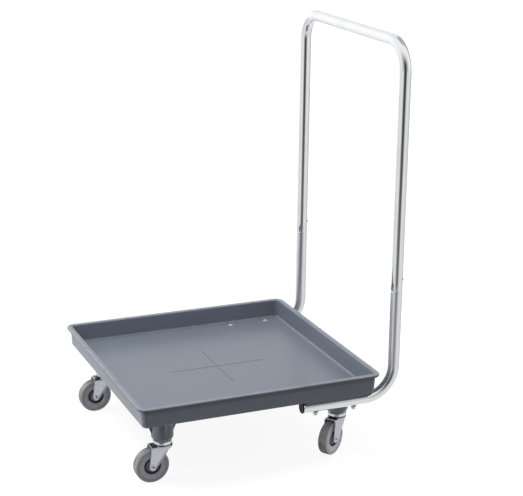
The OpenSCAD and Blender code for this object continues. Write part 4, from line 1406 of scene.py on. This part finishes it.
def add_floor(colours):
    """Pale floor: to the camera, most of its white is its own glow and the rest is lamplight, so
    that it keeps the object's shadow. It sends little light back up, mirrored rays pass through
    it to the studio's walls, and it is clear from below."""
    corners = np.array([[-1, -1, 0], [1, -1, 0], [1, 1, 0], [-1, 1, 0]]) * FLOOR_HALF
    mesh = bpy.data.meshes.new("floor")
    mesh.from_pydata(corners.tolist(), [], [(0, 1, 2, 3)])
    floor = bpy.data.objects.new("floor", mesh)
    material = bpy.data.materials.new("studio_floor")
    finish = Finish(material)
    seen, mirrored = seen_rays(finish)
    where = finish.node("ShaderNodeTexCoord", out="Object")
    away = finish.node("ShaderNodeVectorMath", {"operation": "LENGTH"}, {0: where}, "Value")
    far = away.ramp(FLOOR_GLOW_START, FLOOR_GLOW_END)
    glow = seen * (FLOOR_GLOW + (1 - FLOOR_GLOW) * far)
    matt = finish.node("ShaderNodeBsdfPrincipled", None, {
        "Base Color": finish.mix(seen, FLOOR_BOUNCE, tint(colours.floor, 0.30)),
        "Roughness": 1.0,
        "Specular IOR Level": 0.0,
        "Emission Color": finish.mix(glow, BLACK, WHITE),
        "Emission Strength": 1.0,
    })
    clear = finish.node("ShaderNodeBsdfTransparent")
    below = finish.node("ShaderNodeNewGeometry", out="Backfacing")
    share = mirrored.at_least(below)
    either = finish.node("ShaderNodeMixShader", None, {0: share, 1: matt, 2: clear})
    finish.node("ShaderNodeOutputMaterial", None, {"Surface": either})
    mesh.materials.append(material)
    bpy.context.scene.collection.objects.link(floor)


def add_world():
    """White to the camera. To mirrored rays: pale walls with a soft dark band behind the camera, as
    the plated tubes show it, a bright back wall with a soft box, dim sides, a dark card in a far
    corner and a dim patch overhead. To all other rays: low even fill."""
    world = bpy.data.worlds.new("studio")
    bpy.context.scene.world = world
    finish = Finish(world)
    seen, mirrored = seen_rays(finish)
    ray = finish.node("ShaderNodeTexCoord", out="Generated")
    x, y, z = [finish.node("ShaderNodeSeparateXYZ", None, {"Vector": ray}, out) for out in "XYZ"]

    def along(way):
        """How far the ray goes along a way."""
        return x * way[0] + y * way[1] + z * way[2]

    level = (x * x + y * y).at_least(1e-4) ** 0.5
    a = math.radians(CAMERA_AZIMUTH + BAND_TURN)
    towards = along((math.sin(a), -math.cos(a), 0.0)) / level
    behind = 0 - towards
    near_floor = z.ramp(-0.85, -0.12)
    band = towards.ramp(0.75, 1.0) * near_floor
    room = ROOM_SHADE * towards.ramp(0.25, 0.8) * z.ramp(-0.22, 0.04)
    front = band.at_least(room) * (1 - z.ramp(0.3, 1.0))
    back_wall = behind.ramp(0.42, 0.6)
    sides = SIDE_SHADE * behind.ramp(-0.05, 0.2) * (1 - back_wall) * (1 - z.ramp(-0.15, 0.1))
    card = CARD_SHADE * (along(CARD_WAY) / level).ramp(0.90, 0.97) * (1 - z.ramp(0.5, 0.75))
    overhead = OVERHEAD_SHADE * along(OVERHEAD_WAY).ramp(0.9, 0.975)
    soft_box = along(SOFT_BOX_WAY)
    edge = EDGE_SHADE * back_wall * (1 - soft_box.ramp(0.72, 0.9))
    dark = front.at_least(sides.at_least(card) * near_floor).at_least(overhead).at_least(edge)
    walls = finish.mix(z.ramp(-0.35, 0.1).at_least(back_wall), LOW_WALL, WHITE)
    walls = finish.mix(soft_box.ramp(0.86, 1.0), walls, SOFT_BOX)
    walls = finish.mix(dark, walls, DARK_WALL)
    shade = finish.mix(mirrored, finish.mix(seen, FILL, WHITE), walls)
    sky = finish.node("ShaderNodeBackground", None, {"Color": shade, "Strength": 1.0})
    finish.node("ShaderNodeOutputWorld", None, {"Surface": sky})


# Add-on

class DOLLY_OT_tray(bpy.types.Operator):
    """Build the moulded tray with its bosses, gussets, saddles and ribs"""

    bl_idname = "dolly.tray"
    bl_label = "Tray"

    def execute(self, context):
        tray = context.scene.dolly_tray
        build_tray_shell(tray)
        build_tray_bosses(tray)
        build_tray_saddles(tray, context.scene.dolly_handle)
        build_tray_ribs(tray)
        return {"FINISHED"}


class DOLLY_OT_handle(bpy.types.Operator):
    """Build the plated tube handle with its end plugs, bolts, snap buttons and their springs"""

    bl_idname = "dolly.handle"
    bl_label = "Handle"

    def execute(self, context):
        handle = context.scene.dolly_handle
        build_handle_loop(handle)
        build_handle_legs(handle)
        build_leg_plugs(handle)
        dress("pale_steel", "handle_bolts", "dome_nuts")
        dress("dark_steel", "snap_button_left", "snap_button_right")
        build_button_springs(handle)
        dress("zinc_steel", "bolt_washers")
        return {"FINISHED"}


class DOLLY_OT_swivels(bpy.types.Operator):
    """Build the pressed forks and upper cups, and finish the stems, balls and rings between them"""

    bl_idname = "dolly.swivels"
    bl_label = "Swivels"

    def execute(self, context):
        sizes = context.scene.dolly_caster
        build_forks(sizes)
        build_swivel_cups(sizes)
        for caster in CASTERS:
            steel = [caster + part for part in ("_stem_socket", "_stem", "_king_washer")]
            dress("zinc_steel", *steel)
            dress("bright_steel", caster + "_swivel_balls")
            dress("black_plastic", caster + "_dust_ring")
        return {"FINISHED"}


class DOLLY_OT_wheels(bpy.types.Operator):
    """Build the tyres, hubs and axle rivets, and finish the sleeves"""

    bl_idname = "dolly.wheels"
    bl_label = "Wheels"

    def execute(self, context):
        build_wheels(context.scene.dolly_caster)
        dress("zinc_steel", *[caster + "_axle_sleeve" for caster in CASTERS])
        return {"FINISHED"}


class DOLLY_OT_stage(bpy.types.Operator):
    """Set up the plain studio: floor, background, soft lamps and camera"""

    bl_idname = "dolly.stage"
    bl_label = "Stage"

    def execute(self, context):
        scene = context.scene
        scene.view_settings.view_transform = "Standard"
        add_camera()
        add_floor(scene.dolly_colours)
        add_world()
        for name, settings in LAMPS.items():
            add_lamp(name, *settings)
        return {"FINISHED"}


class DOLLY_PT_panel(bpy.types.Panel):
    """Lists the dolly's groups of pieces, sizes and colours"""

    bl_idname = "DOLLY_PT_panel"
    bl_label = "Glass Rack Dolly"
    bl_space_type = "VIEW_3D"
    bl_region_type = "UI"
    bl_category = "Dolly"

    def draw(self, context):
        column = self.layout.column()
        for operator in OPERATORS:
            column.operator(operator.bl_idname)
        for name, group in GROUPS.items():
            box = column.box()
            box.label(text=group.__doc__)
            for field in group.__annotations__:
                label = field.replace("_", " ").capitalize()
                box.prop(getattr(context.scene, name), field, text=label)


GROUPS = {
    "dolly_tray": DollyTraySizes,
    "dolly_handle": DollyHandleSizes,
    "dolly_caster": DollyCasterSizes,
    "dolly_colours": DollyColours,
}
OPERATORS = (DOLLY_OT_stage, DOLLY_OT_tray, DOLLY_OT_handle, DOLLY_OT_swivels, DOLLY_OT_wheels)
CLASSES = (*GROUPS.values(), *OPERATORS, DOLLY_PT_panel)


def register():
    """Registers the classes and the groups of sizes and colours."""
    for each in CLASSES:
        bpy.utils.register_class(each)
    for name, group in GROUPS.items():
        setattr(bpy.types.Scene, name, bpy.props.PointerProperty(type=group))


def unregister():
    """Removes the groups and the classes."""
    for name in GROUPS:
        delattr(bpy.types.Scene, name)
    for each in reversed(CLASSES):
        bpy.utils.unregister_class(each)


def main():
    """Builds everything in order."""
    register()
    bpy.ops.dolly.stage()
    bpy.ops.dolly.tray()
    bpy.ops.dolly.handle()
    bpy.ops.dolly.swivels()
    bpy.ops.dolly.wheels()


if __name__ == "__main__":
    main()
